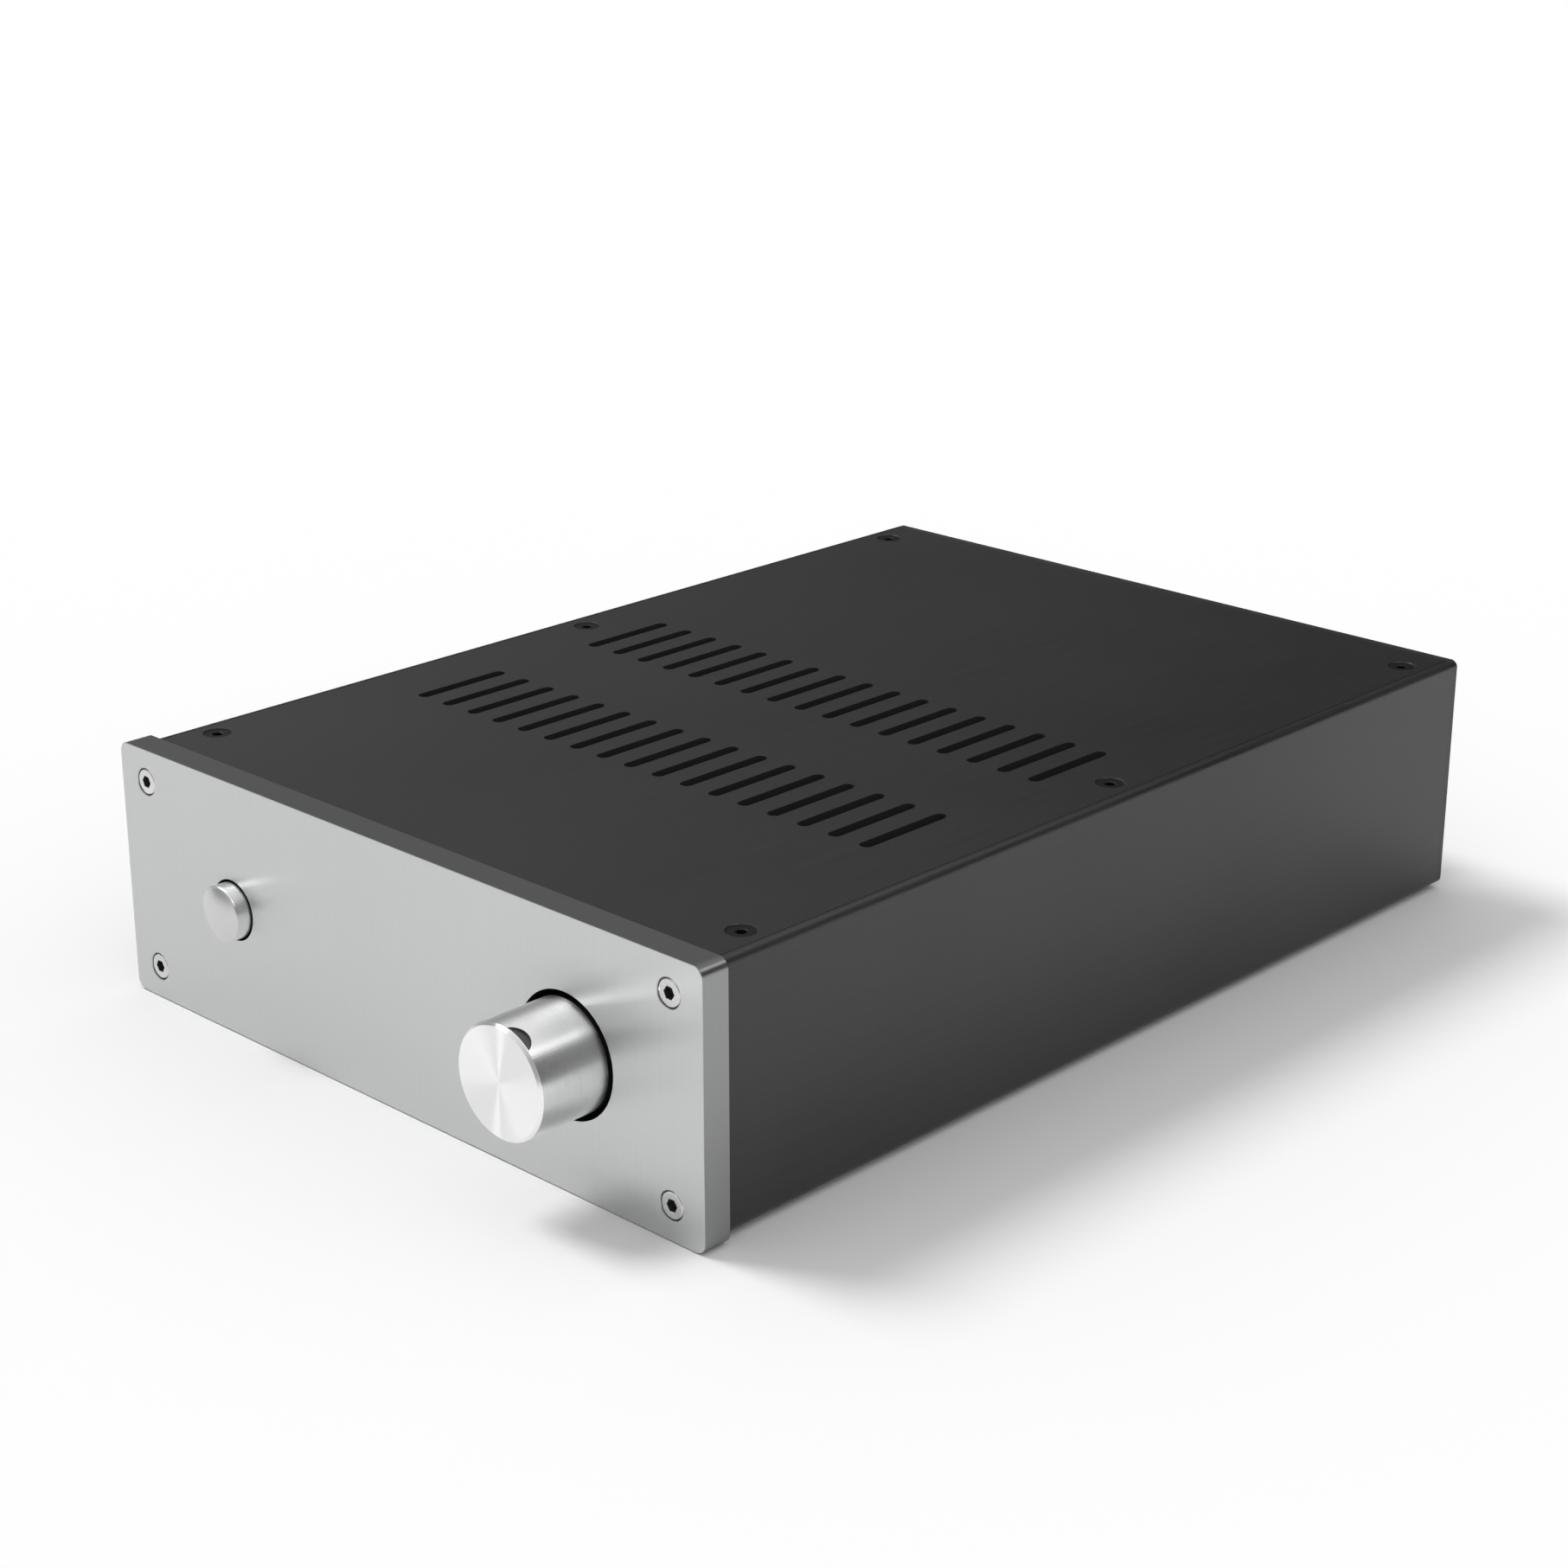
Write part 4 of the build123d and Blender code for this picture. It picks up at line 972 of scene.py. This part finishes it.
def filled(tree, edges, selection):
    # a flat face inside the chosen edges, with the inner rings left open
    curve = out(tree, "GeometryNodeMeshToCurve", {"Mesh": edges, "Selection": selection})
    return out(tree, "GeometryNodeFillCurve", {"Curve": curve}, {"mode": "TRIANGLES"})


def shifted(tree, geometry, offset, selection=True):
    inputs = {"Geometry": geometry, "Selection": selection, "Offset": offset}
    return out(tree, "GeometryNodeSetPosition", inputs)


def flaring(tree, edges, away):
    # keeps with each point the way in which its edge is broken
    inputs = {"Geometry": edges, "Name": "away", "Value": away}
    kinds = {"data_type": "FLOAT_VECTOR", "domain": "POINT"}
    return out(tree, "GeometryNodeStoreNamedAttribute", inputs, kinds)


def slotRows(tree, size):
    # one slot is a ring pulled apart along Y; it stands on every point of a grid
    sides = 20
    halfSide = math.pi / sides
    half = times(tree, size["Slot width"], 0.5)
    straight = times(tree, less(tree, size["Slot length"], size["Slot width"]), 0.5)
    ring = loop(tree, sides, over(tree, half, math.cos(halfSide)))
    ring = turned(tree, ring, (0, 0, halfSide))
    flare = over(tree, size["Slot flare"], size["Edge break"])
    ring = flaring(tree, ring, stretched(tree, vec(tree, "NORMALIZE", position(tree)), flare))
    side = calc(tree, "SIGN", split(tree, position(tree))["Y"])
    slot = shifted(tree, ring, xyz(tree, 0, times(tree, side, straight)))
    spread = {
        "Size X": times(tree, less(tree, size["Slots"], 1), size["Pitch"]),
        "Size Y": times(tree, less(tree, size["Rows"], 1), size["Row spacing"]),
        "Vertices X": size["Slots"],
        "Vertices Y": size["Rows"],
    }
    grid = moved(tree, out(tree, "GeometryNodeMeshGrid", spread), xyz(tree, 0, size["Slots middle"]))
    return out(tree, "GeometryNodeRealizeInstances", {"Geometry": stood(tree, grid, slot)})


def coverOutline(tree, size):
    # the plate's own outline, whose long edges are broken
    depth = less(tree, size["Rear end"], size["Front end"])
    outline = out(tree, "GeometryNodeCurvePrimitiveQuadrilateral", {"Width": size["Width"], "Height": depth})
    outline = out(tree, "GeometryNodeReverseCurve", {"Curve": outline})
    outline = out(tree, "GeometryNodeCurveToMesh", {"Curve": outline})
    side = calc(tree, "SIGN", split(tree, position(tree))["X"])
    outline = flaring(tree, outline, xyz(tree, times(tree, side, -1)))
    middle = times(tree, add(tree, size["Rear end"], size["Front end"]), 0.5)
    return moved(tree, outline, xyz(tree, 0, middle))


def sunkHoles(tree, size):
    # a countersunk hole at each screw: a cone down to the hole, and the hole through the plate
    sides = 40
    marks = {"Geometry": size["Places"], "Position": vec(tree, "MULTIPLY", position(tree), (1, 1, 0))}
    marks = out(tree, "GeometryNodeSetPosition", marks)
    seat = less(tree, size["Hole radius"], size["Seat radius"])
    cone, coneEnd = pulled(tree, loop(tree, sides, size["Seat radius"]), seat)
    share = over(tree, size["Hole radius"], size["Seat radius"])
    narrow = vec(tree, "MULTIPLY", position(tree), xyz(tree, share, share, 1))
    cone = out(tree, "GeometryNodeSetPosition", {"Geometry": cone, "Selection": coneEnd, "Position": narrow})
    through = times(tree, add(tree, size["Thickness"], seat), -1)
    bore = flipped(tree, pulled(tree, cone, through, coneEnd)[0])
    return out(tree, "GeometryNodeRealizeInstances", {"Geometry": stood(tree, marks, bore)})


def makeCoverTree():
    # a plate with rows of slots and countersunk holes, its outer face at zero height until the end
    tree, size = newTree("ventedCover", topCoverShape)
    sink = xyz(tree, 0, 0, times(tree, size["Edge break"], -1))
    rims = moved(tree, joined(tree, coverOutline(tree, size), slotRows(tree, size)), sink)
    # every rim goes up to a broken edge and down to the inner face
    lips, lipTop = pulled(tree, rims, size["Edge break"])
    kept = put(tree, "GeometryNodeInputNamedAttribute", {"Name": "away"}, {"data_type": "FLOAT_VECTOR"})
    lips = shifted(tree, lips, stretched(tree, kept.outputs["Attribute"], size["Edge break"]), lipTop)
    walls = flipped(tree, pulled(tree, rims, less(tree, size["Edge break"], size["Thickness"]))[0])
    shell = joined(tree, lips, walls, sunkHoles(tree, size))
    # both flat faces: the edges that lie at their height
    height = split(tree, position(tree))["Z"]
    innerHeight = times(tree, size["Thickness"], -1)
    outer = filled(tree, shell, calc(tree, "GREATER_THAN", height, -hair))
    inner = filled(tree, shell, calc(tree, "LESS_THAN", height, add(tree, innerHeight, hair)))
    inner = moved(tree, flipped(tree, inner), xyz(tree, 0, 0, innerHeight))
    plate = merged(tree, joined(tree, shell, outer, inner), 2 * hair)
    plate = moved(tree, turned(tree, plate, size["Turn"]), xyz(tree, 0, 0, size["Face height"]))
    endTree(tree, zoned(tree, plate, 0), finishes["black_cover"])
    return tree


topCoverShape = {
    "Width": 206.4 * mm, "Front end": -142.3 * mm, "Rear end": 149.7 * mm,
    "Thickness": 2.5 * mm, "Edge break": 0.25 * mm,
    "Slots": 17, "Pitch": 10.18 * mm, "Slot length": 30.0 * mm, "Slot width": 3.5 * mm,
    "Slot flare": 0.06 * mm, "Rows": 2, "Row spacing": 63.1 * mm, "Slots middle": -24.35 * mm,
    "Seat radius": 3.85 * mm, "Hole radius": 2.25 * mm,
    "Turn": (0.0, 0.0, 0.0), "Face height": 69.2 * mm,
}
bottomCoverShape = dict(topCoverShape, Turn=(0.0, math.radians(180), 0.0))
bottomCoverShape["Face height"] = 1.6 * mm
coverTree = makeCoverTree()
runTree("ventedTopCover", coverTree, topScrewPoints, topCoverShape,
        "chassis", "black_cover", "top_cover")
runTree("ventedBottomCover", coverTree, underScrewPoints, bottomCoverShape,
        "chassis", "black_cover", "bottom_cover")
print("covers ready")
